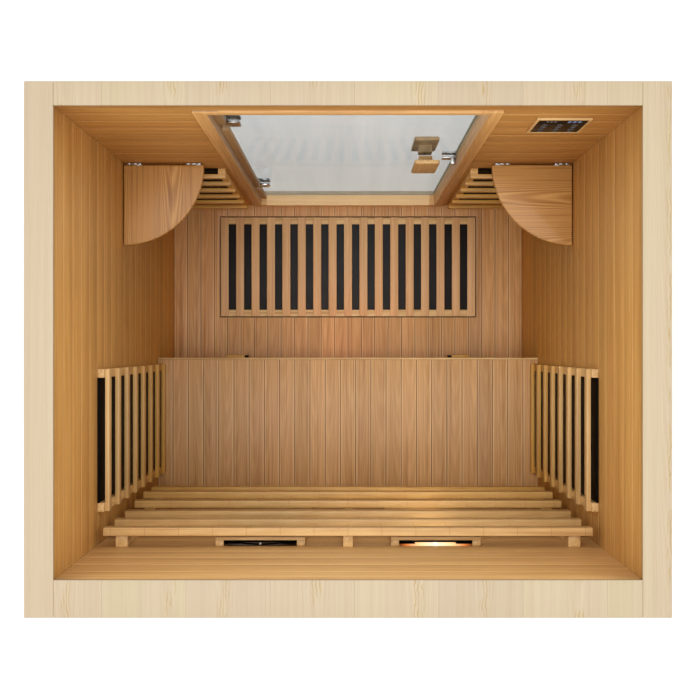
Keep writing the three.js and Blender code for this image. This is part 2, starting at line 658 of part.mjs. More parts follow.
const sideHeaterBack = roomBack - SIDE_HEATER_SETBACK;
const sideHeaterY = [sideHeaterBack - SIDE_HEATER_LENGTH, sideHeaterBack];
const sideHeaterZ = [benchTop + SEAT, above(SIDE_HEATER_TOP)];
const frontHeaterX = doorFrameX + FRONT_HEATER_OFFSET;
const frontHeaterZ = [above(FRONT_HEATER_BOTTOM), above(FRONT_HEATER_TOP)];
for (const [name, side] of [['left', -1], ['right', 1]]) {
  const onSide = (span, out) => [out.map((depth) => side * (roomX - depth)), span];
  const sideSpan = addGuardedHeater(`${name}_side_heater`, onSide, sideHeaterY, sideHeaterZ, {
    stile: STILE_WIDTH,
    thickness: GUARD_THICKNESS,
    count: SIDE_HEATER_SLATS,
    pitch: SIDE_HEATER_PITCH,
    drop: SIDE_HEATER_SLAT_DROP,
  });
  addElement(`${name}_side_heater`, onSide, sideSpan, sideHeaterZ);
  const onFront = (span, out) => [span, out.map((depth) => roomFront + depth)];
  const frontX = [side * frontHeaterX, side * (roomX - FRONT_HEATER_SIDE_GAP)];
  const frontSpan = addGuardedHeater(`${name}_front_heater`, onFront, frontX, frontHeaterZ, {
    stile: STILE_WIDTH,
    thickness: GUARD_THICKNESS,
    count: FRONT_HEATER_SLATS,
    pitch: FRONT_HEATER_PITCH,
    drop: 0,
  });
  addElement(`${name}_front_heater`, onFront, frontSpan, frontHeaterZ);
}

// Full-spectrum emitters behind the backrest: a curved reflector with a quartz tube down its middle
const emitterZ = [above(EMITTER_TOP) - EMITTER_HEIGHT, above(EMITTER_TOP)];

function addEmitter(name, side) {
  const onBack = (span, out) => [span, out.map((depth) => roomBack - depth)];
  const span = [side * EMITTER_OFFSET, side * (EMITTER_OFFSET + EMITTER_WIDTH)];
  const [x0, x1] = addGuardedHeater(`${name}_emitter`, onBack, span, emitterZ, {
    stile: EMITTER_STILE,
    thickness: EMITTER_GUARD,
    count: EMITTER_SLATS,
    pitch: EMITTER_PITCH,
    drop: 0,
  });
  const back = roomBack - SEAT;
  const rim = back - REFLECTOR_RIM;
  const half = (x1 - x0) / 2;
  const mid = (x0 + x1) / 2;
  const dish = Array.from({ length: REFLECTOR_STEPS + 1 }, (_, i) => {
    const share = (2 * i) / REFLECTOR_STEPS - 1;
    const u = share * (half - REFLECTOR_FLANGE);
    return [mid + u, back - REFLECTOR_FLOOR - (REFLECTOR_RIM - REFLECTOR_FLOOR) * share * share];
  });
  const lip = rim - REFLECTOR_BAR / 2;
  const outline = [[x0, back], [x0, lip], [x0 + REFLECTOR_FLANGE, lip], ...dish.slice(1, -1)];
  outline.push([x1 - REFLECTOR_FLANGE, lip], [x1, lip], [x1, back]);
  const zs = [emitterZ[0] + SEAT, emitterZ[1] - SEAT];
  const tubeY = back - REFLECTOR_FLOOR - SEAT - TUBE_R;
  const barBack = tubeY - TUBE_R - SEAT;
  const bar = [[zs[0], zs[0] + REFLECTOR_BAR_HEIGHT], [zs[1] - REFLECTOR_BAR_HEIGHT, zs[1]]];
  const bars = bar.map((span) => block([x0, x1], [barBack - REFLECTOR_BAR, barBack], span));
  addPiece(`${name}_emitter_reflector`, 'reflectorMetal', join(prism('z', outline, zs), ...bars));
  addPiece(`${name}_emitter_tube`, 'quartz', rod('z', [mid, tubeY], TUBE_R, zs, 12));
}
addEmitter('left', -1);
addEmitter('right', 1);

// Shelves: quarter discs in the front corners that fold up about pins at their rear top edge
const shelfTop = above(SHELF_TOP);
const shelfRear = roomFront + SHELF_GAP_FRONT;
const shelfPin = [roomFront + SHELF_GAP_FRONT / 2, shelfTop];

function addShelfHinge(name, [x0, x1]) {
  const leaf = (SHELF_GAP_FRONT - 3 * SEAT) / 2;
  const wallY = [roomFront + SEAT, roomFront + SEAT + leaf];
  const shelfY = [shelfRear - SEAT - leaf, shelfRear - SEAT];
  const leafZ = [shelfTop - SHELF_THICKNESS, shelfTop - SHELF_KNUCKLE_R - SEAT];
  const ends = [[x0, x0 + SHELF_KNUCKLE_END], [x1 - SHELF_KNUCKLE_END, x1]];
  const middle = [ends[0][1] + SEAT, ends[1][0] - SEAT];
  const neckZ = [leafZ[1] - 1, shelfTop];
  addPiece(`${name}_wall_leaf`, 'chrome', join(
    block([x0, x1], wallY, leafZ),
    ...ends.map((xs) => block(xs, wallY, neckZ)),
    ...ends.map((xs) => rod('x', shelfPin, SHELF_KNUCKLE_R, xs)),
    rod('x', shelfPin, SHELF_PIN_R, [x0 + 1, x1 - 1], 10),
  ));
  addPiece(`${name}_shelf_leaf`, 'chrome', cut(
    join(
      block([x0, x1], shelfY, leafZ),
      block(middle, shelfY, neckZ),
      rod('x', shelfPin, SHELF_KNUCKLE_R, middle),
    ),
    rod('x', shelfPin, SHELF_PIN_R + PIN_PLAY, widen(middle, 1), 10),
  ));
}

for (const [name, side] of [['left', -1], ['right', 1]]) {
  const edge = roomX - SHELF_GAP_SIDE;
  const curve = arc([0, 0], SHELF_RADIUS, 0, Math.PI / 2, SHELF_STEPS);
  const outline = [[0, 0], ...curve].map(([u, v]) => [side * (edge - u), shelfRear + v]);
  addPiece(`${name}_shelf`, 'warmWood', prism('z', outline, [shelfTop - SHELF_THICKNESS, shelfTop]));
  for (const [which, start] of [['outer', SHELF_HINGE_NEAR], ['inner', SHELF_HINGE_FAR]]) {
    const ends = [side * (edge - start), side * (edge - start - SHELF_HINGE_WIDTH)];
    addShelfHinge(`${name}_shelf_${which}_hinge`, [Math.min(...ends), Math.max(...ends)]);
  }
}

// Control panel beside the door
const panelX = [-roomX + PANEL_SIDE_GAP, -roomX + PANEL_SIDE_GAP + PANEL_WIDTH];
const panelSpanZ = [WALL_TOP - PANEL_DROP - PANEL_HEIGHT, WALL_TOP - PANEL_DROP];
const panelY = [roomFront + SEAT, roomFront + SEAT + PANEL_DEPTH];
const faceX = widen(panelX, -PANEL_SIDE);
const faceZ = widen(panelSpanZ, -PANEL_END);
addPiece('control_panel_frame', 'slatWood', cut(
  block(panelX, panelY, panelSpanZ),
  block(faceX, widen(panelY, 1), faceZ),
));
addPiece('control_panel_face', 'panelBlack', block(
  widen(faceX, -SEAT),
  [panelY[0], panelY[1] - PANEL_RECESS],
  widen(faceZ, -SEAT),
));

export default cabin;
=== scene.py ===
# %% [markdown]
# # An infrared sauna cabin, seen from straight above
#
# The cabin is a small wooden room with its roof off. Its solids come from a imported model, which is loaded
# as a fixed frame. This lesson gives every solid rounded edges and a procedural finish, builds the slats,
# screws and panel marks with Geometry Nodes, and lights the room so that it looks as the real one does.

import json
import math

import bmesh
import bpy
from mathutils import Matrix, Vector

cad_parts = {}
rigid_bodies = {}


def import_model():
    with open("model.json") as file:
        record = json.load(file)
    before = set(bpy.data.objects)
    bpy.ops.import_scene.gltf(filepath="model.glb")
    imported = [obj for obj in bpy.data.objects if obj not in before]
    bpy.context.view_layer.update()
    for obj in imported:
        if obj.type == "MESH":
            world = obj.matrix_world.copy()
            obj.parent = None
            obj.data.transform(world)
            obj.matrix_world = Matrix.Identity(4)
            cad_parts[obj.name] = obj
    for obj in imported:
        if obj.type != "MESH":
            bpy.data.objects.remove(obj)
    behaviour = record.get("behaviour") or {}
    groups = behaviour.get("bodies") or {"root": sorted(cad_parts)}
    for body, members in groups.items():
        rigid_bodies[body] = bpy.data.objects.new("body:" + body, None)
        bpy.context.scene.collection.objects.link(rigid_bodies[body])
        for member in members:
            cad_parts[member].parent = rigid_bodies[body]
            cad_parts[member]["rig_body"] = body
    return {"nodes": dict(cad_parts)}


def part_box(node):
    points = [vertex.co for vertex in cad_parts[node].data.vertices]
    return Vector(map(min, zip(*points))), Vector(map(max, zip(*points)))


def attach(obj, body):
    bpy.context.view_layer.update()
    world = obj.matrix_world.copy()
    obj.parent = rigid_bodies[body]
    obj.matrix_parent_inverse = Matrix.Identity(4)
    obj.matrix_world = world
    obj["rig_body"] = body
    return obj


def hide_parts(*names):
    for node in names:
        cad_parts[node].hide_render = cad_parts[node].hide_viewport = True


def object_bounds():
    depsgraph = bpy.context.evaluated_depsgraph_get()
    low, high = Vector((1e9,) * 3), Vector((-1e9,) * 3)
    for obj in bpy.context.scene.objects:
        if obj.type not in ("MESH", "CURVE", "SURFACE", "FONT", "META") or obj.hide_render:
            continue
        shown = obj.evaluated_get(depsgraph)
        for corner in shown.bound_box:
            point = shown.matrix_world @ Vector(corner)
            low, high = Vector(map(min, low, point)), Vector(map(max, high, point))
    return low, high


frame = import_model()
cad_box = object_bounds()
print("nodes:", len(frame["nodes"]), "box:", [tuple(round(x, 3) for x in corner) for corner in cad_box])

# %% [markdown]
# ## Camera
#
# The picture was taken from straight above the middle of the cabin, in perspective: the floor looks 0.59
# times as wide as the opening at the wall tops, which fixes the height of the camera. Turned half round
# about Z, the camera has the door at the top of the picture.

# %% Camera
WALL_TOP = cad_box[1].z
CAMERA_ABOVE_WALLS = 2.557
CAMERA_Y = -0.00275
LENS_MM = 71.46
SENSOR_MM = 36.0

camera_data = bpy.data.cameras.new("camera")
camera_data.lens = LENS_MM
camera_data.sensor_width = SENSOR_MM
camera = bpy.data.objects.new("camera", camera_data)
camera.location = (0.0, CAMERA_Y, WALL_TOP + CAMERA_ABOVE_WALLS)
camera.rotation_euler = (0.0, 0.0, math.pi)
bpy.context.scene.collection.objects.link(camera)
bpy.context.scene.camera = camera
print("camera height:", round(camera.location.z, 3), "m")

# %% [markdown]
# ## Node trees written as Python
#
# A material is a tree of nodes. Clicking it together takes long, and so does adding each Math node by hand.
# The small class below wraps one socket, and Python's own operators on it add the Math nodes, so that a
# formula can be read as a formula. Every other node comes from its one method, in shader trees and geometry
# trees alike.

# %% A socket with operators
class Wire:
    """One output socket in a node tree. Operators on it add Math nodes."""

    def __init__(self, tree, socket=None):
        self.tree = tree
        self.socket = socket

    def node(self, kind, settings=None, inputs=None, out=0):
        made = self.tree.nodes.new(kind)
        for key, value in (settings or {}).items():
            if key == "stops":
                set_stops(made.color_ramp, value)
            else:
                setattr(made, key, value)
        for key, value in (inputs or {}).items():
            if isinstance(value, Wire):
                self.tree.links.new(value.socket, made.inputs[key])
            else:
                made.inputs[key].default_value = value
        return Wire(self.tree, made.outputs[out])

    def other(self, out):
        return Wire(self.tree, self.socket.node.outputs[out])

    def math(self, operation, *values):
        return self.node("ShaderNodeMath", {"operation": operation}, dict(enumerate(values)))

    def __add__(self, other):
        return self.math("ADD", self, other)

    def __sub__(self, other):
        return self.math("SUBTRACT", self, other)

    def __rsub__(self, other):
        return self.math("SUBTRACT", other, self)

    def __mul__(self, other):
        return self.math("MULTIPLY", self, other)

    def __truediv__(self, other):
        return self.math("DIVIDE", self, other)

    def __pow__(self, other):
        return self.math("POWER", self, other)

    def __abs__(self):
        return self.math("ABSOLUTE", self)

    __radd__ = __add__
    __rmul__ = __mul__

    def floor(self):
        return self.math("FLOOR", self)

    def sine(self):
        return self.math("SINE", self)

    def cosine(self):
        return self.math("COSINE", self)

    def least(self, other):
        return self.math("MINIMUM", self, other)

    def between(self, low, high):
        """0 at low, 1 at high, with a smooth rise."""
        settings = {"interpolation_type": "SMOOTHSTEP"}
        return self.node("ShaderNodeMapRange", settings, {"Value": self, "From Min": low, "From Max": high})

    def blend(self, first, second):
        """The first colour where this value is 0, the second where it is 1."""
        return self.node("ShaderNodeMix", {"data_type": "RGBA"}, {0: self, 6: first, 7: second}, out=2)

    def times(self, tint, share=1.0):
        """This colour multiplied by a tint, in full or by a share of it."""
        settings = {"data_type": "RGBA", "blend_type": "MULTIPLY"}
        return self.node("ShaderNodeMix", settings, {0: share, 6: self, 7: tint}, out=2)


def set_stops(ramp, stops):
    while len(ramp.elements) < len(stops):
        ramp.elements.new(0.5)
    for element, (place, tint) in zip(ramp.elements, stops):
        element.position = place
        element.color = tint


def connect(wire, socket):
    wire.tree.links.new(wire.socket, socket)


def new_material(name):
    material = bpy.data.materials.new(name)
    material.use_nodes = True
    return material, Wire(material.node_tree), material.node_tree.nodes["Principled BSDF"]


def colour(red, green, blue):
    """A colour written as 0 to 255 on screen, as the linear values that nodes work with."""
    shares = [value / 255 for value in (red, green, blue)]
    return (*[s / 12.92 if s <= 0.04045 else ((s + 0.055) / 1.055) ** 2.4 for s in shares], 1.0)


print("grey 188 is", round(colour(188, 188, 188)[0], 3), "in linear light")

# %% [markdown]
# ## Floor and light
#
# The cabin stands on a white floor under soft light. The world is an even white dome, and a large lamp high
# above adds light that reaches the bottom of the room. Two lamps at the opening stand for the light that the
# roof would give: a wide one for the walls, and a small spot for the middle of the floor. The floor adds a
# little white for camera rays, so that the background is white while the floor near the cabin still darkens
# where the cabin shades it.

# %% Floor and light
FLOOR_HALF = 9.0
FLOOR_DROP = 0.0005
FLOOR_GREY = 0.82
FLOOR_ROUGHNESS = 0.9
FLOOR_LIFT = 0.50
DOME_STRENGTH = 0.60
LAMP_SIZE = (2.6, 2.6)
LAMP_POWER = 58.0
LAMP_PLACE = (0.10, 0.15, 5.2)
FILL_SIZE = (1.0, 0.82)
FILL_POWER = 3.6
FILL_PLACE = (0.0, 0.0, WALL_TOP - 0.001)
FILL_COLOUR = (1.0, 0.96, 0.84)
SPOT_SIZE = (0.25, 0.25)
SPOT_POWER = 1.0
SPOT_PLACE = (-0.15, 0.03, WALL_TOP - 0.002)
SPOT_SPREAD = math.radians(62.0)


def seen_straight(start):
    """1 for rays that show the background: from the camera, off gloss or through glass."""
    path = start.node("ShaderNodeLightPath", out="Is Camera Ray")
    bent = path.other("Is Glossy Ray") + path.other("Is Transmission Ray")
    return (path + bent).least(1.0)


def white_world():
    world = bpy.data.worlds.new("white_dome")
    world.use_nodes = True
    background = world.node_tree.nodes["Background"]
    background.inputs["Color"].default_value = (1.0, 1.0, 1.0, 1.0)
    strength = DOME_STRENGTH + (1.0 - DOME_STRENGTH) * seen_straight(Wire(world.node_tree))
    connect(strength, background.inputs["Strength"])
    bpy.context.scene.world = world


def floor_finish():
    material, start, shader = new_material("studio_floor")
    lift = FLOOR_LIFT * seen_straight(start)
    white = start.node("ShaderNodeCombineColor", {}, {"Red": lift, "Green": lift, "Blue": lift})
    shader.inputs["Base Color"].default_value = (FLOOR_GREY, FLOOR_GREY, FLOOR_GREY, 1.0)
    shader.inputs["Roughness"].default_value = FLOOR_ROUGHNESS
    connect(white, shader.inputs["Emission Color"])
    shader.inputs["Emission Strength"].default_value = 1.0
    return material


def area_lamp(name, size, power, place, hidden):
    """A lamp that shines straight down. A hidden one gives light, but neither camera nor gloss shows it."""
    data = bpy.data.lights.new(name, "AREA")
    data.shape = "RECTANGLE"
    data.size, data.size_y = size
    data.energy = power
    lamp = bpy.data.objects.new(name, data)
    lamp.location = place
    lamp.visible_camera = not hidden
    lamp.visible_glossy = not hidden
    bpy.context.scene.collection.objects.link(lamp)
    return data


white_world()
floor_mesh = bpy.data.meshes.new("studio_floor")
corners = [(x * FLOOR_HALF, y * FLOOR_HALF, -FLOOR_DROP) for x, y in ((-1, -1), (1, -1), (1, 1), (-1, 1))]
floor_mesh.from_pydata(corners, [], [(0, 1, 2, 3)])
floor_mesh.materials.append(floor_finish())
studio_floor = bpy.data.objects.new("studio_floor", floor_mesh)
bpy.context.scene.collection.objects.link(studio_floor)

area_lamp("overhead", LAMP_SIZE, LAMP_POWER, LAMP_PLACE, hidden=False)
fill = area_lamp("room_fill", FILL_SIZE, FILL_POWER, FILL_PLACE, hidden=True)
fill.color = FILL_COLOUR
spot = area_lamp("ceiling_spot", SPOT_SIZE, SPOT_POWER, SPOT_PLACE, hidden=True)
spot.spread = SPOT_SPREAD

bpy.context.scene.view_settings.view_transform = "Standard"
print("lamps:", LAMP_POWER, "W overhead,", FILL_POWER + SPOT_POWER, "W at the opening")

# %% [markdown]
# ## Wood
#
# The cabin is clad in pale softwood outside and in warm wood inside. Sawn wood shows long fibres, rings that
# form pointed arches where the saw crosses them, and short dark pores. All three are functions of the place
# along and across a board. A number for each board, worked out from its place in the row, shifts the pattern
# and the tone, so that no two boards look alike. An image would repeat and would have to be unwrapped.
#
# Some tones go by place, as painted light and shade. Wood low in the room is painted deeper and redder, as
# painted shade, the sill is painted paler than the door frame, as painted light, and the jamb behind the hinges
# is painted greyer, as painted shade.

# %% Wood patterns
AXES = {"x": 0, "y": 1, "z": 2}

# Length along the grain and width across it, in metres
FIBRE = 0.55, 0.009
STREAK = 0.45, 0.0045
DRIFT = 0.60, 0.055
PORE = 0.030, 0.0011
FLAME_SWAY = 0.035, 0.030
FLAME_CLUSTER = 0.060, 0.050

BOARD_SHIFT = 9.0
LOOSE_BOARD = 0.04
HEART_REACH = 0.7
RING_SPACING = 0.0065
RING_CURVE = 26.0
RING_SLANT = 0.055
RING_WANDER = 0.022
FLAME_SPACING = 0.0062
FLAME_BEND = 0.016
FLAME_REACH = 0.005, 0.017


def object_axes(start):
    place = start.node("ShaderNodeTexCoord", out="Object")
    split = start.node("ShaderNodeSeparateXYZ", {}, {0: place})
    return [split.other(axis) for axis in ("X", "Y", "Z")]


def stretched(along, across, depth, size):
    """A vector in which one unit is as long as the size along the grain and as wide as it across."""
    length, width = size
    inputs = {"X": along / length, "Y": across / width, "Z": depth / width}
    return along.node("ShaderNodeCombineXYZ", {}, inputs)


def noise(vector, detail=3.0, roughness=0.55):
    inputs = {"Vector": vector, "Scale": 1.0, "Detail": detail, "Roughness": roughness}
    return vector.node("ShaderNodeTexNoise", {}, inputs, out="Fac")


def random_of(index, shift):
    """A number from 0 to 1 that is the same for the whole of a board."""
    settings = {"noise_dimensions": "1D"}
    return index.node("ShaderNodeTexWhiteNoise", settings, {"W": index + shift}, out="Value")


def growth_rings(from_heart, run, drift):
    figure = from_heart * from_heart * RING_CURVE + run * RING_SLANT + drift * RING_WANDER
    return ((figure * (2.0 * math.pi / RING_SPACING)).sine() * 0.5 + 0.5) ** 1.6


def flame_marks(run, from_heart):
    """Short wavy growth lines near the heart of a board, in clusters along it."""
    sway = noise(stretched(run, from_heart, from_heart, FLAME_SWAY), 2.0)
    wave = (from_heart + sway * FLAME_BEND) * (2.0 * math.pi / FLAME_SPACING)
    cluster = noise(stretched(run, from_heart, from_heart, FLAME_CLUSTER), 1.0).between(0.40, 0.55)
    return wave.sine().between(0.1, 0.9) * cluster * (1.0 - abs(from_heart).between(*FLAME_REACH))


def finger_joints(along, fingers):
    """Thin dark lines across a slat where short lengths of wood are joined end to end."""
    length, width = fingers
    place = along / length
    near = 0.5 - abs(place - place.floor() - 0.5)
    return (1.0 - near.between(0.5 * width / length, width / length)) * 0.55


def board_joints(edge, joint, ground):
    """A dark line where two boards meet, with a painted highlight beside it for the light their rounded edges
    catch.
    """
    line = 1.0 - edge.between(joint * 0.4, joint * 0.9)
    painted_edge_highlight = edge.between(joint * 0.9, joint * 1.6) * (1.0 - edge.between(joint * 2.0, joint * 4.0))
    lit = (painted_edge_highlight * 0.20).blend(ground, colour(255, 232, 190))
    return (line * 0.75).blend(lit, colour(92, 58, 30))


print("a ring every", RING_SPACING * 1000, "mm, pores", PORE[0] * 1000, "mm long")

# %% [markdown]
# ## One finish for all the wood
#
# The patterns go into one function, which is called with the tints of a piece, the way its grain runs and the
# width of its boards. Bars from Geometry Nodes have no boards: they carry a random number of their own, the
# attribute tone.

# %% Wood finish
SHADE_PAINTED_UP_TO = 0.35, 1.45
CAP_SHADE = WALL_TOP - 0.010, WALL_TOP - 0.004
# The sill is painted paler, as painted light, and the hinge jamb greyer, as painted shade.
LIT_SILL_UP_TO = 0.10, 0.14
SHADED_JAMB_X = 0.240, 0.250
SHADED_JAMB_Y = -0.4520, -0.4485
SHADED_JAMB_Z = 0.088, 0.092


def painted_room_shade(z, ground):
    """Painted shade: deeper, redder wood low in the room, and a dark band at the top of the lining under the
    cap.
    """
    deep = ground.times(colour(246, 222, 146), 1.0 - z.between(*SHADE_PAINTED_UP_TO))
    return (z.between(*CAP_SHADE) * 0.6).blend(deep, colour(96, 60, 30))


def doorway_painted_light_and_shade(axes, inside, ground):
    """Painted light and shade: the sill is painted paler than the frame, and the jamb behind the hinges greyer.
    """
    x, y, z = axes
    sill = inside * (1.0 - z.between(*LIT_SILL_UP_TO))
    pale = (sill * 0.55).blend(ground, colour(252, 220, 166))
    jamb = x.between(*SHADED_JAMB_X) * (1.0 - y.between(*SHADED_JAMB_Y)) * z.between(*SHADED_JAMB_Z)
    return (jamb * 0.62).blend(pale, colour(112, 94, 76))


def wood(name, tints, grain, across, boards=None, arches=0.25, spread=0.05, rough=0.5, joint=0.0, hue=0.0,
         streaks=0.42, flames=0.0, fingers=None, turned=0.0, shade_painted=False):
    """Wood with its grain along one axis, from a pale and a deep tint.

    boards is the width of each board across the grain and where the first begins, and joint is the width of
    the dark line between them. arches is the share of the rings, and spread is how far boards differ in tone.
    hue is how far they differ in colour, from yellow to rose. streaks and flames are strengths. fingers is
    the length and the line width of finger joints. Nearer to the middle than turned, the grain runs across.
    """
    material, start, shader = new_material(name)
    pale, deep = tints
    axes = object_axes(start)
    along, side = axes[AXES[grain]], axes[AXES[across]]
    depth = axes[3 - AXES[grain] - AXES[across]]
    if turned:
        inside = start.math("LESS_THAN", abs(side), turned)
        swap = inside * (side - along)
        along, side = along + swap, side - swap
    if boards:
        width, first = boards
        place = (side - first) / width
        index = place.floor()
        offset = (place - index - 0.5) * width
    else:
        width = LOOSE_BOARD
        index = start.node("ShaderNodeAttribute", {"attribute_name": "tone"}, {}, out="Fac") * 97.0
        offset = side

    lot, second = random_of(index, 0.37), random_of(index, 41.7)
    run = along + lot * BOARD_SHIFT
    fibre = noise(stretched(run, side + lot, depth, FIBRE), 7.0, 0.68)
    streak = noise(stretched(run, side + second, depth, STREAK), 3.0)
    drift = noise(stretched(run, side + lot, depth, DRIFT), 2.0)
    pores = noise(stretched(run, side, depth, PORE), 2.0).between(0.60, 0.78)
    from_heart = offset - (second - 0.5) * (width * HEART_REACH)
    rings = growth_rings(from_heart, run, drift)

    shade = fibre.between(0.30, 0.72) * (1.0 - arches) + rings * arches
    tone = 1.0 - spread + spread * 1.6 * lot
    grey = start.node("ShaderNodeCombineColor", {}, {"Red": tone, "Green": tone, "Blue": tone})
    ground = shade.blend(deep, pale).times(grey)
    if hue:
        shift = second * 0.6 + drift * 0.8 - 0.2
        ground = ground.times(shift.blend(colour(255, 246, 218), colour(255, 238, 228)), hue)
    ground = ground.times(deep, streak.between(0.50, 0.68) * streaks)
    ground = ground.times(deep, pores * 0.22)
    if flames:
        ground = ground.times(colour(236, 219, 172), flame_marks(run, from_heart) * flames)
    if fingers:
        ground = ground.times(deep, finger_joints(along, fingers) * lot.between(0.35, 0.45))
    if joint:
        ground = board_joints(width / 2 - abs(offset), joint, ground)
    # Painted light on the sill and painted shade on the hinge jamb.
    if turned:
        ground = doorway_painted_light_and_shade(axes, inside, ground)
    # Painted shade: deeper, redder wood low in the room, and a dark band under the cap.
    if shade_painted:
        ground = painted_room_shade(axes[2], ground)

    connect(ground, shader.inputs["Base Color"])
    connect(rough - 0.10 + 0.20 * fibre + 0.10 * pores, shader.inputs["Roughness"])
    height = fibre * 0.6 - pores * 0.5 + rings * 0.25
    bump_inputs = {"Strength": 0.22, "Distance": 0.0006, "Height": height}
    connect(start.node("ShaderNodeBump", {}, bump_inputs), shader.inputs["Normal"])
    return material


# A pale and a deep tint for each kind of wood
CAP = colour(228, 219, 203), colour(216, 204, 184)
PALE = colour(229, 212, 180), colour(210, 189, 152)
# The base frame's wood is painted paler, as painted light where it lies in shade.
BASE_PAINTED_LIGHT = colour(242, 232, 212), colour(226, 212, 188)
WARM = colour(217, 175, 106), colour(183, 134, 69)
# One wood for the lining, with painted light and shade by wall: the front is painted deeper, the back paler.
LINING_PAINTED_LIGHT = {
    "left": WARM,
    "right": WARM,
    "front": (colour(206, 160, 94), colour(172, 121, 59)),
    "back": (colour(224, 188, 132), colour(194, 154, 96)),
}
FLOOR_TINT = colour(211, 168, 116), colour(181, 135, 83)
FLOOR_SLAT_TINT = colour(226, 184, 132), colour(196, 149, 98)
BENCH = colour(202, 161, 113), colour(173, 131, 82)
SLAT = colour(222, 189, 134), colour(191, 151, 95)
SHELF = colour(202, 157, 92), colour(164, 112, 54)
FRAME = colour(220, 178, 120), colour(190, 144, 86)
# Painted light: the outer handle's wood, paler to make up for the tinted glass in front of it.
OUTER_HANDLE_PAINTED_LIGHT = colour(240, 211, 164), colour(214, 177, 127)
print("heated wood up to", SHADE_PAINTED_UP_TO[1], "m")

# %% [markdown]
# ## Metal, glass and black heaters
#
# The hinges and the catch are polished steel, the door is thick glass with a faint grey tint, and the heaters
# are black carbon panels with a fine woven face. The reflectors of the two tall emitters behind the backrest
# are curved metal: one is switched on, and its reflector carries a painted reflection of the tube's glow,
# white in the middle and orange towards its edges.

# %% Other finishes
GLASS_GRADED = 0.3, 1.7
GLASS_EDGE = -0.2645, -0.2665
THREAD = 0.0032
COIL_PITCH = 0.006
REFLECTOR_HALF = 0.075
PAINTED_REFLECTION_STOPS = [
    (0.0, (1.0, 0.86, 0.66, 1.0)),
    (0.45, (1.0, 0.66, 0.30, 1.0)),
    (0.85, (0.62, 0.16, 0.03, 1.0)),
    (1.0, (0.16, 0.04, 0.01, 1.0)),
]
BLACK = colour(0, 0, 0)


def polished_steel():
    material, start, shader = new_material("polished_steel")
    x, y, z = object_axes(start)
    streak = noise(stretched(z, x, y, (0.004, 0.0004)))
    smear = noise(stretched(x, y, z, (0.03, 0.03)), 2.0)
    connect(smear.blend(colour(168, 169, 172), colour(204, 205, 206)), shader.inputs["Base Color"])
    shader.inputs["Metallic"].default_value = 1.0
    connect(0.10 + 0.12 * streak + 0.06 * smear, shader.inputs["Roughness"])
    return material


def door_glass():
    """Clear plate with a grey tint, a little darker low down, and a green edge on the side of the catch."""
    material, start, shader = new_material("tempered_glass")
    x, y, z = object_axes(start)
    smudge = noise(stretched(x, z, y, (0.045, 4.0)))
    plate = smudge.blend(colour(194, 197, 197), colour(214, 217, 217))
    shaded = plate.times(z.between(*GLASS_GRADED).blend(colour(236, 236, 236), colour(255, 255, 255)))
    tint = x.between(*GLASS_EDGE).blend(shaded, colour(120, 140, 128))
    connect(tint, shader.inputs["Base Color"])
    shader.inputs["Transmission Weight"].default_value = 1.0
    shader.inputs["IOR"].default_value = 1.0
    shader.inputs["Coat Weight"].default_value = 0.2
    connect(0.10 + 0.06 * smudge.between(0.45, 0.75), shader.inputs["Roughness"])
    return material


def carbon_panel(name, shine, glow=None):
    """Woven carbon. glow is a colour, a strength and how far from the middle of the room it reaches."""
    material, start, shader = new_material(name)
    x, y, z = object_axes(start)
    turn = 2.0 * math.pi / THREAD
    weave = (x * turn + z * turn).sine() * (y * turn - z * turn).cosine()
    cloud = noise(stretched(x, y, z, (0.05, 0.05)))
    ground = (cloud * 0.7 + weave * 0.15).blend(colour(4, 4, 4), colour(12, 10, 10))
    connect(ground, shader.inputs["Base Color"])
    connect(0.46 + 0.18 * cloud + 0.06 * weave, shader.inputs["Roughness"])
    shader.inputs["Specular IOR Level"].default_value = shine
    bump_inputs = {"Strength": 0.25, "Distance": 0.0004, "Height": weave}
    connect(start.node("ShaderNodeBump", {}, bump_inputs), shader.inputs["Normal"])
    if glow:
        hot, strength, reach = glow
        middle = 1.0 - abs(x).between(reach * 0.35, reach)
        connect((middle * (0.6 + 0.4 * cloud)).blend(BLACK, hot), shader.inputs["Emission Color"])
        shader.inputs["Emission Strength"].default_value = strength
    return material


def reflector(name, front, middle=None, strength=0.0):
    """Rolled metal, black in front of the given y. With a middle, a painted reflection of the tube glows there,
    then orange.
    """
    material, start, shader = new_material(name)
    x, y, z = object_axes(start)
    roll = noise(stretched(z, x, y, (0.20, 0.002)), 4.0)
    behind = y.between(front, front + 0.0004)
    metal = roll.blend(colour(58, 52, 48), colour(120, 112, 104))
    connect(behind.blend(colour(9, 8, 8), metal), shader.inputs["Base Color"])
    shader.inputs["Metallic"].default_value = 1.0
    connect(0.22 + 0.2 * roll, shader.inputs["Roughness"])
    # Painted reflection of the lit tube's glow, white in the middle and orange towards the edges.
    if middle is not None:
        off = abs(x - middle) / REFLECTOR_HALF
        hot = start.node("ShaderNodeValToRGB", {"stops": PAINTED_REFLECTION_STOPS}, {"Fac": off})
        connect(behind.blend(BLACK, hot), shader.inputs["Emission Color"])
        shader.inputs["Emission Strength"].default_value = strength
    return material


def quartz(name, lit):
    material, start, shader = new_material(name)
    x, y, z = object_axes(start)
    coil = (z * (2.0 * math.pi / COIL_PITCH)).sine() * 0.5 + 0.5
    if lit:
        connect(coil.blend(colour(255, 200, 146), colour(255, 218, 174)), shader.inputs["Emission Color"])
        shader.inputs["Emission Strength"].default_value = 3.0
    connect(coil.blend(colour(120, 108, 100), colour(190, 182, 176)), shader.inputs["Base Color"])
    connect(0.12 + 0.1 * coil, shader.inputs["Roughness"])
    shader.inputs["Coat Weight"].default_value = 0.6
    return material


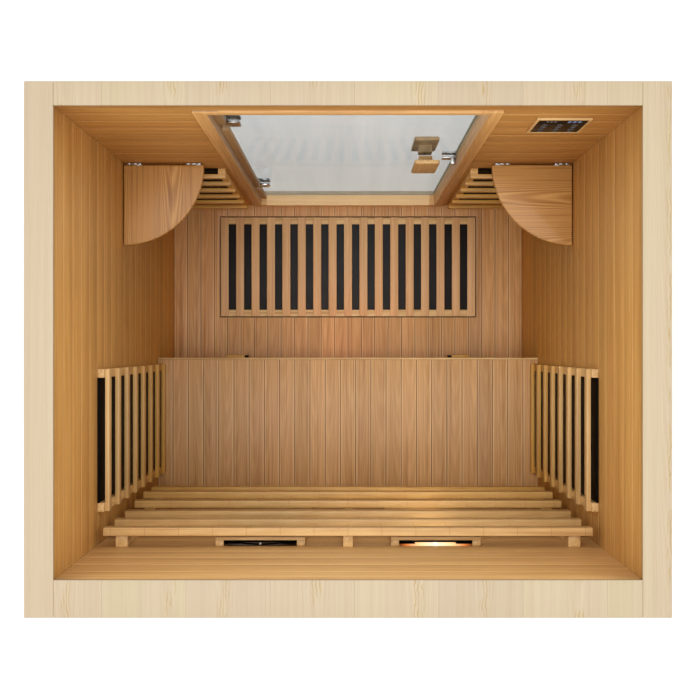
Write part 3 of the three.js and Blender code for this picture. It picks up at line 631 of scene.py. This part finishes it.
def panel_gloss():
    material, start, shader = new_material("panel_gloss")
    x, y, z = object_axes(start)
    haze = noise(stretched(x, y, z, (0.02, 0.02)))
    connect(haze.blend(colour(5, 6, 8), colour(13, 14, 18)), shader.inputs["Base Color"])
    connect(0.34 + 0.12 * haze, shader.inputs["Roughness"])
    shader.inputs["Specular IOR Level"].default_value = 0.08
    return material


def panel_ink(name, tint, strength):
    material, start, shader = new_material(name)
    x, y, z = object_axes(start)
    grain = noise(stretched(x, y, z, (0.0012, 0.0012)), 2.0)
    dim = [value * 0.75 for value in tint[:3]] + [1.0]
    ink = grain.blend(dim, tint)
    connect(ink, shader.inputs["Base Color"])
    connect(ink, shader.inputs["Emission Color"])
    shader.inputs["Emission Strength"].default_value = strength
    connect(0.4 + 0.1 * grain, shader.inputs["Roughness"])
    return material


STEEL = polished_steel()
GLASS = door_glass()
WALL_CARBON = carbon_panel("wall_carbon", 0.06)
FLOOR_CARBON = carbon_panel("floor_carbon", 0.5)
print("finishes:", STEEL.name, GLASS.name, WALL_CARBON.name, FLOOR_CARBON.name)

# %% [markdown]
# ## Rounded copies of the solids
#
# A sawn board never has a knife edge: a small round catches the light along every edge and is what makes
# wood look solid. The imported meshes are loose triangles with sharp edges. Each one is copied, its doubles are
# merged, flat triangles are dissolved into whole faces, and a Bevel modifier rounds what is left. The copy
# stands for the node.

# %% Rounded copies
FLAT_ANGLE = math.radians(1.0)
ROUND_FROM = math.radians(28.0)
SMOOTH_UNDER = math.radians(40.0)
MERGE_UNDER = 1e-5
ROUND = {
    "leaf": 0.0003, "thin": 0.0004, "board": 0.0005, "plate": 0.0006, "trim": 0.0008, "bar": 0.0009,
    "edge": 0.0010, "cap": 0.0012, "frame": 0.0014, "shelf": 0.0022, "handle": 0.0028,
}


def settle(obj):
    """Turns an object with modifiers into a plain mesh object with smooth rounds and sharp corners."""
    graph = bpy.context.evaluated_depsgraph_get()
    mesh = bpy.data.meshes.new_from_object(obj.evaluated_get(graph))
    obj.modifiers.clear()
    obj.data = mesh
    mesh.shade_smooth()
    mesh.set_sharp_from_angle(angle=SMOOTH_UNDER)


def add_round(obj, kind):
    bevel = obj.modifiers.new("round", "BEVEL")
    bevel.width = ROUND[kind]
    bevel.segments = 2
    bevel.limit_method = "ANGLE"
    bevel.angle_limit = ROUND_FROM
    bevel.use_clamp_overlap = True
    bevel.harden_normals = False


def body_of(node):
    return frame["nodes"][node]["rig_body"]


def rounded(node, material, kind):
    """A rounded copy of a node that stands for it."""
    mesh = frame["nodes"][node].data.copy()
    shape = bmesh.new()
    shape.from_mesh(mesh)
    bmesh.ops.remove_doubles(shape, verts=shape.verts, dist=MERGE_UNDER)
    bmesh.ops.dissolve_limit(shape, angle_limit=FLAT_ANGLE, verts=shape.verts, edges=shape.edges)
    shape.to_mesh(mesh)
    shape.free()
    mesh.materials.clear()
    mesh.materials.append(material)
    obj = bpy.data.objects.new(node + "_finish", mesh)
    bpy.context.scene.collection.objects.link(obj)
    add_round(obj, kind)
    settle(obj)
    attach(obj, body_of(node))
    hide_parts(node)


print("rounds from", ROUND["leaf"] * 1000, "to", ROUND["handle"] * 1000, "mm")

# %% [markdown]
# ## Walls
#
# Each wall is a stud frame with a pale cap that shows as the broad rim of the picture, pale vertical boards
# outside and warm horizontal boards inside. The boards run in different directions, so the same wood is mixed
# once for each direction, with the width of its boards, and the pattern then follows every board.

# %% Walls
LINING_BOARD = 0.089
OUTER_BOARD = 0.091
CAP_BOARDS = 0.156, -0.792
BASE_BOARDS = 0.08, -0.5


def boards_along(node, axis, wanted):
    """Width and start of the equal boards that fill a node along an axis, near the wanted width."""
    low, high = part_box(node)
    span = high[AXES[axis]] - low[AXES[axis]]
    return span / max(1, round(span / wanted)), low[AXES[axis]]


cap_wood = wood("cap_wood", CAP, "y", "x", CAP_BOARDS, arches=0.35, spread=0.04, rough=0.6, joint=0.0003,
                hue=1.0, streaks=0.08, flames=0.8)
for side, run in (("left", "y"), ("right", "y"), ("front", "x"), ("back", "x")):
    rounded(side + "_wall_frame", cap_wood, "cap")
    boards = boards_along(side + "_wall_outer_boards", run, OUTER_BOARD)
    outer = wood(side + "_outer_wood", PALE, "z", run, boards, arches=0.4, spread=0.06, rough=0.6,
                 joint=0.0012)
    rounded(side + "_wall_outer_boards", outer, "board")
    boards = boards_along(side + "_wall_lining", "z", LINING_BOARD)
    # The lining carries the painted shade low in the room and under the cap.
    lining = wood(side + "_lining_wood", LINING_PAINTED_LIGHT[side], run, "z", boards, arches=0.2, spread=0.09,
                  joint=0.0009, hue=0.25, shade_painted=True)
    rounded(side + "_wall_lining", lining, "board")
# Painted light: the base frame is paler than the outer boards.
base_wood = wood("base_wood", BASE_PAINTED_LIGHT, "x", "y", BASE_BOARDS, arches=0.3, spread=0.08, rough=0.65)
rounded("base_frame", base_wood, "edge")
print("walls: 4, lining board", round(boards[0] * 1000, 1), "mm")

# %% [markdown]
# ## Floor and bench
#
# Narrow boards run from the door to the back wall. Each board has a fine painted highlight beside the dark
# joint, for the light its round edge catches, and a nosing strip closes the front of the bench.

# %% Floor and bench
FLOOR_BOARD = 0.042
BENCH_BOARD = 0.0436
BOARD_JOINT = 0.0013
TRIM_BOARDS = 0.06, 0.0
PANEL_BOARDS = 0.088, 0.06

boards = boards_along("floor_boards", "x", FLOOR_BOARD)
floor_wood = wood("floor_wood", FLOOR_TINT, "y", "x", boards, arches=0.3, spread=0.13, rough=0.48,
                  joint=BOARD_JOINT, hue=0.6)
rounded("floor_boards", floor_wood, "plate")
boards = boards_along("bench_seat", "x", BENCH_BOARD)
bench_wood = wood("bench_wood", BENCH, "y", "x", boards, arches=0.3, spread=0.13, rough=0.48,
                  joint=BOARD_JOINT, hue=0.35)
rounded("bench_seat", bench_wood, "plate")
trim_wood = wood("trim_wood", SLAT, "x", "z", TRIM_BOARDS, arches=0.2, rough=0.48)
rounded("bench_nosing", trim_wood, "cap")
panel_wood = wood("bench_panel_wood", WARM, "x", "z", PANEL_BOARDS, arches=0.3, spread=0.06)
for node in ("bench_front", "left_bench_cleat", "right_bench_cleat"):
    rounded(node, panel_wood, "edge")
print("bench board", round(boards[0] * 1000, 2), "mm")

# %% [markdown]
# ## Slats
#
# Backrest, heater guards and floor grille are all rows of equal bars. A Geometry Nodes tree makes such a row:
# a line of points, a bar on each point, and a random number for each bar that its wood reads as a tone. For
# the backrest the points also follow the lumbar curve, a raised cosine over the height. A Bevel modifier
# after the tree rounds all the bars.

# %% The tree for a row of bars
ROW_INPUTS = {
    "Size": "NodeSocketVector", "First": "NodeSocketVector", "Step": "NodeSocketVector",
    "Count": "NodeSocketInt", "Seed": "NodeSocketInt", "Bulge": "NodeSocketFloat",
    "Bulge Height": "NodeSocketFloat", "Bulge Span": "NodeSocketFloat", "Material": "NodeSocketMaterial",
}


def new_tree(name, inputs):
    tree = bpy.data.node_groups.new(name, "GeometryNodeTree")
    for label, kind in inputs.items():
        tree.interface.new_socket(label, in_out="INPUT", socket_type=kind)
    tree.interface.new_socket("Geometry", in_out="OUTPUT", socket_type="NodeSocketGeometry")
    return tree, Wire(tree).node("NodeGroupInput")


def end_tree(start, geometry, material):
    real = start.node("GeometryNodeRealizeInstances", {}, {0: geometry})
    made = start.node("GeometryNodeSetMaterial", {}, {"Geometry": real, "Material": material})
    output = start.tree.nodes.new("NodeGroupOutput")
    connect(made, output.inputs[0])


def bar_row_tree():
    tree, given = new_tree("bar_row", ROW_INPUTS)
    line_inputs = {"Count": given.other("Count"), "Start Location": given.other("First"),
                   "Offset": given.other("Step")}
    line = given.node("GeometryNodeMeshLine", {"mode": "OFFSET"}, line_inputs)
    place = given.node("GeometryNodeInputPosition")
    height = given.node("ShaderNodeSeparateXYZ", {}, {0: place}, out="Z")
    away = (abs(height - given.other("Bulge Height")) / given.other("Bulge Span")).least(1.0)
    lean = ((away * math.pi).cosine() + 1.0) * given.other("Bulge") * -0.5
    shift = given.node("ShaderNodeCombineXYZ", {}, {"Y": lean})
    curved = given.node("GeometryNodeSetPosition", {}, {"Geometry": line, "Offset": shift})
    bar = given.node("GeometryNodeMeshCube", {}, {"Size": given.other("Size")})
    bars = given.node("GeometryNodeInstanceOnPoints", {}, {"Points": curved, "Instance": bar})
    tone_inputs = {"Seed": given.other("Seed")}
    tone = given.node("FunctionNodeRandomValue", {"data_type": "FLOAT"}, tone_inputs, out=1)
    kept = {"Geometry": bars, "Name": "tone", "Value": tone}
    settings = {"data_type": "FLOAT", "domain": "INSTANCE"}
    toned = given.node("GeometryNodeStoreNamedAttribute", settings, kept)
    end_tree(given, toned, given.other("Material"))
    return tree


def grow(tree, name, values, start_mesh=None):
    """An object made by a tree with these input values, still with its modifier."""
    obj = bpy.data.objects.new(name, start_mesh or bpy.data.meshes.new(name))
    bpy.context.scene.collection.objects.link(obj)
    nodes = obj.modifiers.new("grow", "NODES")
    nodes.node_group = tree
    for item in tree.interface.items_tree:
        if item.in_out == "INPUT" and item.name in values:
            nodes[item.identifier] = values[item.name]
    return obj


BAR_ROW = bar_row_tree()


def bar_row(name, low, high, material, seed, step=(0, 0, 0), count=1, bulge=(0.0, 0.0, 1.0)):
    """A row of equal bars. The first fills the box from low to high, and each next one is a step further."""
    size = [b - a for a, b in zip(low, high)]
    middle = [(a + b) / 2 for a, b in zip(low, high)]
    depth, height, span = bulge
    values = {"Size": size, "First": middle, "Step": step, "Count": count, "Seed": seed, "Bulge": depth,
              "Bulge Height": height, "Bulge Span": span, "Material": material}
    obj = grow(BAR_ROW, name, values)
    add_round(obj, "bar")
    settle(obj)
    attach(obj, "cabin")
    return obj


BAR_ROUGH = 0.46
FINGERS = 0.073, 0.0008
# The slats carry the same painted shade low in the room.
SLAT_X = wood("slat_wood_x", SLAT, "x", "z", spread=0.10, rough=BAR_ROUGH, shade_painted=True)
SLAT_Y = wood("slat_wood_y", SLAT, "y", "x", spread=0.10, rough=BAR_ROUGH, shade_painted=True)
STILE_Z = wood("stile_wood_z", SLAT, "z", "x", spread=0.08, rough=BAR_ROUGH, shade_painted=True)
FLOOR_SLAT = wood("floor_slat_wood", FLOOR_SLAT_TINT, "y", "x", spread=0.10, rough=BAR_ROUGH)
SLAT_FINGERS = wood("backrest_wood", SLAT, "x", "z", spread=0.08, rough=BAR_ROUGH, fingers=FINGERS,
                    shade_painted=True)
print("tree inputs:", ", ".join(ROW_INPUTS))

# %% [markdown]
# ## Heater guards
#
# A guard on a wall is two stiles with slats across them, in front of a black carbon panel. The box of the
# node gives the place. Along the wall the slats span the whole box, and away from the wall they take its
# room side.

# %% Heater guards
GUARD_HEIGHT = 0.028
SIDE_GUARD = {"pitch": 0.130, "count": 8, "drop": 0.014, "stile": 0.019, "stile_depth": 0.0145}
FRONT_GUARD = {"pitch": 0.150, "count": 6, "drop": 0.0, "stile": 0.019, "stile_depth": 0.0145}
EMITTER_GUARD = {"pitch": 0.134, "count": 6, "drop": 0.0, "stile": 0.018, "stile_depth": 0.012}


def guard(node, wall_axis, inward, seed, pitch, count, drop, stile, stile_depth):
    """Slats and stiles of a wall heater. inward is +1 or -1, the way from the wall into the room."""
    low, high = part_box(node)
    along = 1 - wall_axis
    near, far = (low[wall_axis], high[wall_axis]) if inward > 0 else (high[wall_axis], low[wall_axis])
    face = near + inward * stile_depth
    top = high.z - drop
    slat_low, slat_high = low.copy(), high.copy()
    slat_low.z, slat_high.z = top - GUARD_HEIGHT, top
    slat_low[wall_axis], slat_high[wall_axis] = sorted((face, far))
    wood_along = SLAT_X if along == 0 else SLAT_Y
    slats = bar_row(node + "_slats", slat_low, slat_high, wood_along, seed, step=(0, 0, -pitch), count=count)
    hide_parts(node)
    stile_low, stile_high = low.copy(), high.copy()
    stile_low[wall_axis], stile_high[wall_axis] = sorted((near, face))
    stile_high[along] = low[along] + stile
    step = [0.0, 0.0, 0.0]
    step[along] = high[along] - low[along] - stile
    bar_row(node + "_stiles", stile_low, stile_high, STILE_Z, seed + 50, step=step, count=2)


for seed, (side, inward) in enumerate((("left", 1), ("right", -1))):
    guard(side + "_side_heater_grille", 0, inward, 11 + seed, **SIDE_GUARD)
    guard(side + "_front_heater_grille", 1, 1, 21 + seed, **FRONT_GUARD)
    guard(side + "_emitter_grille", 1, -1, 31 + seed, **EMITTER_GUARD)
    for heater in ("side", "front"):
        rounded(side + "_" + heater + "_heater_element", WALL_CARBON, "plate")
print("guards: 6")

# %% [markdown]
# ## Floor grille and calf heater
#
# The floor grille lies flush with the boards: slats on two battens over a carbon panel. The calf heater sits
# in the bench front with a block at each end. Its panel is on and throws a warm glow on the floor in front of
# the bench.

# %% Floor grille and calf heater
FLOOR_SLATS = 17
FLOOR_SLAT_WIDTH = 0.025
FLOOR_SLAT_THICKNESS = 0.006
BATTEN = 0.021
CALF_SLATS = 4
CALF_PITCH = 0.062
CALF_BLOCK = 0.052
CALF_SLAT_THICKNESS = 0.011
CALF_SLAT_DROP = 0.0129
CALF_GLOW = colour(255, 168, 120), 4.0, 0.18

low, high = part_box("floor_heater_grille")
pitch = (high.x - low.x - FLOOR_SLAT_WIDTH) / (FLOOR_SLATS - 1)
slat_foot = high.z - FLOOR_SLAT_THICKNESS
slat_corner = (low.x + FLOOR_SLAT_WIDTH, high.y, high.z)
floor_slats = bar_row("floor_grille_slats", (low.x, low.y, slat_foot), slat_corner, FLOOR_SLAT, 41,
                      step=(pitch, 0, 0), count=FLOOR_SLATS)
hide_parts("floor_heater_grille")
bar_row("floor_grille_battens", low, (high.x, low.y + BATTEN, slat_foot), trim_wood, 42,
        step=(0, high.y - low.y - BATTEN, 0), count=2)
rounded("floor_heater_element", FLOOR_CARBON, "plate")

low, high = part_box("calf_heater_grille")
slat_top = high.z - CALF_SLAT_DROP
calf_slats = bar_row(
    "calf_grille_slats", (low.x + CALF_BLOCK, high.y - CALF_SLAT_THICKNESS, slat_top - GUARD_HEIGHT),
    (high.x - CALF_BLOCK, high.y, slat_top), SLAT_X, 43, step=(0, 0, -CALF_PITCH), count=CALF_SLATS)
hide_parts("calf_heater_grille")
bar_row("calf_grille_blocks", low, (low.x + CALF_BLOCK, high.y, high.z), SLAT_X, 44,
        step=(high.x - low.x - CALF_BLOCK, 0, 0), count=2)
rounded("calf_heater_element", carbon_panel("calf_carbon", 0.25, CALF_GLOW), "plate")
print("floor slat pitch", round(pitch * 1000, 1), "mm")

# %% [markdown]
# ## Backrest
#
# Six slats sit on three posts whose front edge swells into a lumbar curve. The slats come from the same tree,
# which bends their row by the same raised cosine. The posts are outlines in Y and Z, pushed along X.

# %% Backrest
SLAT_COUNT = 6
SLAT_PITCH = 0.146
SLAT_HEIGHT = 0.038
SLAT_THICKNESS = 0.017
POST_DEPTH = 0.025
POST_TOP_DROP = 0.010
LUMBAR_BULGE = 0.017
LUMBAR_HEIGHT = 0.780
LUMBAR_SPAN = 0.420
POST_STEPS = 48
POST_INSET = 0.025
POST_WIDTH = 0.026
MIDDLE_POST = 0.021


def post_depth(height):
    away = min(1.0, abs(height - LUMBAR_HEIGHT) / LUMBAR_SPAN)
    return POST_DEPTH + LUMBAR_BULGE / 2 * (1 + math.cos(math.pi * away))


def prism_x(name, outline, spans):
    """Copies of a closed outline in y and z, pushed along each span of x."""
    shape = bmesh.new()
    for start, end in spans:
        face = shape.faces.new([shape.verts.new((start, y, z)) for y, z in outline])
        pushed = bmesh.ops.extrude_face_region(shape, geom=[face])["geom"]
        moved = [v for v in pushed if isinstance(v, bmesh.types.BMVert)]
        bmesh.ops.translate(shape, vec=(end - start, 0, 0), verts=moved)
    bmesh.ops.recalc_face_normals(shape, faces=shape.faces)
    mesh = bpy.data.meshes.new(name)
    shape.to_mesh(mesh)
    shape.free()
    obj = bpy.data.objects.new(name, mesh)
    bpy.context.scene.collection.objects.link(obj)
    return obj


low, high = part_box("backrest")
slat_back = high.y - POST_DEPTH
slats = bar_row(
    "backrest_slats", (low.x, slat_back - SLAT_THICKNESS, high.z - SLAT_HEIGHT), (high.x, slat_back, high.z),
    SLAT_FINGERS, 51, step=(0, 0, -SLAT_PITCH), count=SLAT_COUNT,
    bulge=(LUMBAR_BULGE, LUMBAR_HEIGHT, LUMBAR_SPAN))
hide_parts("backrest")
post_top = high.z - POST_TOP_DROP
heights = [low.z + (post_top - low.z) * i / POST_STEPS for i in range(POST_STEPS + 1)]
outline = [(high.y, low.z), *[(high.y - post_depth(z), z) for z in heights], (high.y, post_top)]
left, right = low.x + POST_INSET, high.x - POST_INSET
spans = [(left, left + POST_WIDTH), (-MIDDLE_POST / 2, MIDDLE_POST / 2), (right - POST_WIDTH, right)]
posts = prism_x("backrest_posts", outline, spans)
posts.data.materials.append(STILE_Z)
add_round(posts, "bar")
settle(posts)
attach(posts, "cabin")
print("lumbar depth", round(post_depth(LUMBAR_HEIGHT) * 1000, 1), "mm")

# %% [markdown]
# ## Emitters
#
# Behind the backrest stand two tall emitters: a rolled reflector with a quartz tube down its middle. The left
# one is on. The bars across the front of a reflector are one solid with it, so its finish turns black there.

# %% Emitters
BAR_BACK = 0.4222
# Strength of the painted reflection on the lit reflector.
PAINTED_REFLECTION_STRENGTH = 1.3

for side, lit in (("left", True), ("right", False)):
    low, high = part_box(side + "_emitter_tube")
    middle = (low.x + high.x) / 2
    metal = reflector(side + "_reflector_metal", BAR_BACK, middle if lit else None, PAINTED_REFLECTION_STRENGTH)
    rounded(side + "_emitter_reflector", metal, "thin")
    rounded(side + "_emitter_tube", quartz(side + "_quartz", lit), "thin")
print("emitters: 2")

# %% [markdown]
# ## Door and shelves
#
# The door frame and the handles are wood, the hinges and the catch are steel. The outer handle is painted
# paler than the inner one, as painted light that makes up for the tinted glass in front of it. The two corner
# shelves are quarter discs, one cut with its grain towards the door and one across.

# %% Door and shelves
HEAD_HALF = 0.253
FRAME_BOARDS = 0.12, -0.296
HANDLE_BOARDS = 0.12, -0.26
SHELF_BOARDS = 0.10, -0.6
STEEL_PIECES = (
    "upper_hinge_clamp", "lower_hinge_clamp", "upper_hinge_plate", "lower_hinge_plate",
    "catch_clip", "catch_keeper",
)
HANDLES = (("inner_handle", "handle_wood", SLAT), ("outer_handle", "outer_handle_wood", OUTER_HANDLE_PAINTED_LIGHT))
SHELF_GRAIN = {"left": ("x", "y"), "right": ("y", "x")}

frame_wood = wood("door_frame_wood", FRAME, "z", "x", FRAME_BOARDS, spread=0.06, turned=HEAD_HALF)
rounded("door_frame", frame_wood, "frame")
rounded("door_glass", GLASS, "edge")
for node, name, tints in HANDLES:
    handle_wood = wood(name, tints, "z", "x", HANDLE_BOARDS, arches=0.3, rough=0.4)
    rounded(node, handle_wood, "handle")
for node in STEEL_PIECES:
    rounded(node, STEEL, "plate")

for side, (run, cross) in SHELF_GRAIN.items():
    shelf_wood = wood(side + "_shelf_wood", SHELF, run, cross, SHELF_BOARDS, arches=0.75, rough=0.45)
    rounded(side + "_shelf", shelf_wood, "shelf")
    for hinge in ("outer", "inner"):
        for leaf in ("wall", "shelf"):
            rounded(f"{side}_shelf_{hinge}_hinge_{leaf}_leaf", STEEL, "leaf")
print("steel pieces on the door:", len(STEEL_PIECES))

# %% [markdown]
# ## Screws
#
# The clamps and the hinge plates are held by countersunk screws. The tree puts one head on every point of a
# small mesh of places: a low cone with a flat top, with a cross cut out of it by a Boolean node.

# %% Screws
SCREW_INPUTS = {"Places": "NodeSocketGeometry", "Radius": "NodeSocketFloat", "Height": "NodeSocketFloat",
                "Turn": "NodeSocketVector", "Material": "NodeSocketMaterial"}
SCREW_RADIUS = 0.0026
SCREW_HEIGHT = 0.0005
SCREW_SIDES = 24
TOP_SHARE = 0.86
CROSS_LONG, CROSS_WIDE = 1.3, 0.26
FACE_TURN = {"y": (-math.pi / 2, 0.0, 0.0), "x": (0.0, -math.pi / 2, 0.0)}
CLAMP_SCREW_IN = 0.014
CLAMP_SCREW_HALF = 0.016
PLATE_SCREW_SUNK = 0.0025
PLATE_SCREW_IN = 0.006
PLATE_SCREW_HALF = 0.020


def screw_tree():
    tree, given = new_tree("screw_heads", SCREW_INPUTS)
    radius, height = given.other("Radius"), given.other("Height")
    cone_inputs = {"Vertices": SCREW_SIDES, "Radius Top": radius * TOP_SHARE, "Radius Bottom": radius,
                   "Depth": height}
    head = given.node("GeometryNodeMeshCone", {}, cone_inputs)
    lift = given.node("ShaderNodeCombineXYZ", {}, {"Z": height})
    arms = []
    for x, y in ((CROSS_LONG, CROSS_WIDE), (CROSS_WIDE, CROSS_LONG)):
        size = given.node("ShaderNodeCombineXYZ", {}, {"X": radius * x, "Y": radius * y, "Z": height})
        bar = given.node("GeometryNodeMeshCube", {}, {"Size": size})
        arms.append(given.node("GeometryNodeTransform", {}, {"Geometry": bar, "Translation": lift}))
    cross = given.node("GeometryNodeMeshBoolean", {"operation": "UNION"}, {"Mesh 2": arms[0]})
    connect(arms[1], cross.socket.node.inputs["Mesh 2"])
    cut_inputs = {"Mesh 1": head, "Mesh 2": cross}
    cut = given.node("GeometryNodeMeshBoolean", {"operation": "DIFFERENCE"}, cut_inputs)
    on_points = {"Points": given.other("Places"), "Instance": cut, "Rotation": given.other("Turn")}
    heads = given.node("GeometryNodeInstanceOnPoints", {}, on_points)
    end_tree(given, heads, given.other("Material"))
    return tree


SCREWS = screw_tree()


def screws(node, facing, x, y, half):
    """Two screw heads on a face of a node, above and below its middle."""
    low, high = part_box(node)
    middle = (low.z + high.z) / 2
    mesh = bpy.data.meshes.new(node + "_screws")
    mesh.from_pydata([(x, y, middle - half), (x, y, middle + half)], [], [])
    values = {"Radius": SCREW_RADIUS, "Height": SCREW_HEIGHT, "Turn": FACE_TURN[facing], "Material": STEEL}
    obj = grow(SCREWS, node + "_screws", values, mesh)
    settle(obj)
    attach(obj, body_of(node))


for node in ("upper_hinge_clamp", "lower_hinge_clamp"):
    low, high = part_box(node)
    screws(node, "y", low.x + CLAMP_SCREW_IN, high.y, CLAMP_SCREW_HALF)
for node in ("upper_hinge_plate", "lower_hinge_plate"):
    low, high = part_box(node)
    screws(node, "x", high.x - PLATE_SCREW_SUNK, high.y - PLATE_SCREW_IN, PLATE_SCREW_HALF)
print("screws: 8")

# %% [markdown]
# ## Control panel
#
# The panel by the door has a black touch face in a thin wooden frame. Its marks are plain rings with a bar in
# each, in a grid made by Geometry Nodes, and a small display of short bars.

# %% Control panel
MARK_INPUTS = {"Columns": "NodeSocketInt", "Rows": "NodeSocketInt", "Width": "NodeSocketFloat",
               "Height": "NodeSocketFloat", "Centre": "NodeSocketVector", "Radius": "NodeSocketFloat",
               "Line": "NodeSocketFloat", "Material": "NodeSocketMaterial"}
MARK_COLUMNS, MARK_ROWS = 3, 4
MARK_SPREAD = 0.060, 0.078
MARK_MIDDLE_HEIGHT = 0.053
MARK_RADIUS = 0.0055
MARK_LINE = 0.0003
MARK_PROUD = 0.0001
RING_SIDES, LINE_SIDES = 28, 6
BAR_SUNK, BAR_PROUD = 0.0002, 0.0003
LARGE_BAR = {"side": 0.012, "width": 0.0065, "top": 0.012, "foot": 0.030, "step": 0.010}
SMALL_BAR = {"side": 0.012, "width": 0.0045, "top": 0.014, "foot": 0.024, "step": 0.008}


def mark_tree():
    tree, given = new_tree("panel_marks", MARK_INPUTS)
    grid_inputs = {"Size X": given.other("Width"), "Size Y": given.other("Height"),
                   "Vertices X": given.other("Columns"), "Vertices Y": given.other("Rows")}
    grid = given.node("GeometryNodeMeshGrid", {}, grid_inputs)
    upright = (math.pi / 2, 0.0, 0.0)
    moved_inputs = {"Geometry": grid, "Translation": given.other("Centre"), "Rotation": upright}
    places = given.node("GeometryNodeTransform", {}, moved_inputs)
    radius, thickness = given.other("Radius"), given.other("Line")
    ring, line = [
        given.node("GeometryNodeCurvePrimitiveCircle", {}, {"Resolution": sides, "Radius": size})
        for sides, size in ((RING_SIDES, radius), (LINE_SIDES, thickness))]
    wire = given.node("GeometryNodeCurveToMesh", {}, {"Curve": ring, "Profile Curve": line})
    size = given.node("ShaderNodeCombineXYZ", {}, {"X": thickness * 2.4, "Y": radius, "Z": thickness})
    bar = given.node("GeometryNodeMeshCube", {}, {"Size": size})
    mark = given.node("GeometryNodeJoinGeometry", {}, {0: wire})
    connect(bar, mark.socket.node.inputs[0])
    on_points = {"Points": places, "Instance": mark, "Rotation": upright}
    marks = given.node("GeometryNodeInstanceOnPoints", {}, on_points)
    end_tree(given, marks, given.other("Material"))
    return tree


def display_bars(name, first, face, top, sizes, ink, seed):
    """Three short bars of a display, whose first begins at the given x."""
    start = first + sizes["side"]
    box_low = (start, face - BAR_SUNK, top - sizes["foot"])
    box_high = (start + sizes["width"], face + BAR_PROUD, top - sizes["top"])
    bar_row(name, box_low, box_high, ink, seed, step=(sizes["step"], 0, 0), count=3)


rounded("control_panel_frame", trim_wood, "trim")
rounded("control_panel_face", panel_gloss(), "thin")
white_ink = panel_ink("panel_ink_white", colour(120, 124, 130), 0.10)
blue_ink = panel_ink("panel_ink_blue", colour(96, 128, 176), 0.25)
low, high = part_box("control_panel_face")
face = high.y + MARK_PROUD
middle = (low.x + high.x) / 2
mark_values = {
    "Columns": MARK_COLUMNS, "Rows": MARK_ROWS, "Width": MARK_SPREAD[0], "Height": MARK_SPREAD[1],
    "Centre": (middle, face, low.z + MARK_MIDDLE_HEIGHT), "Radius": MARK_RADIUS, "Line": MARK_LINE,
    "Material": white_ink,
}
marks = grow(mark_tree(), "panel_marks", mark_values)
settle(marks)
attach(marks, "cabin")
display_bars("panel_display_left", low.x, face, high.z, LARGE_BAR, blue_ink, 71)
display_bars("panel_display_right", middle, face, high.z, SMALL_BAR, white_ink, 72)
print("panel marks:", MARK_COLUMNS * MARK_ROWS)
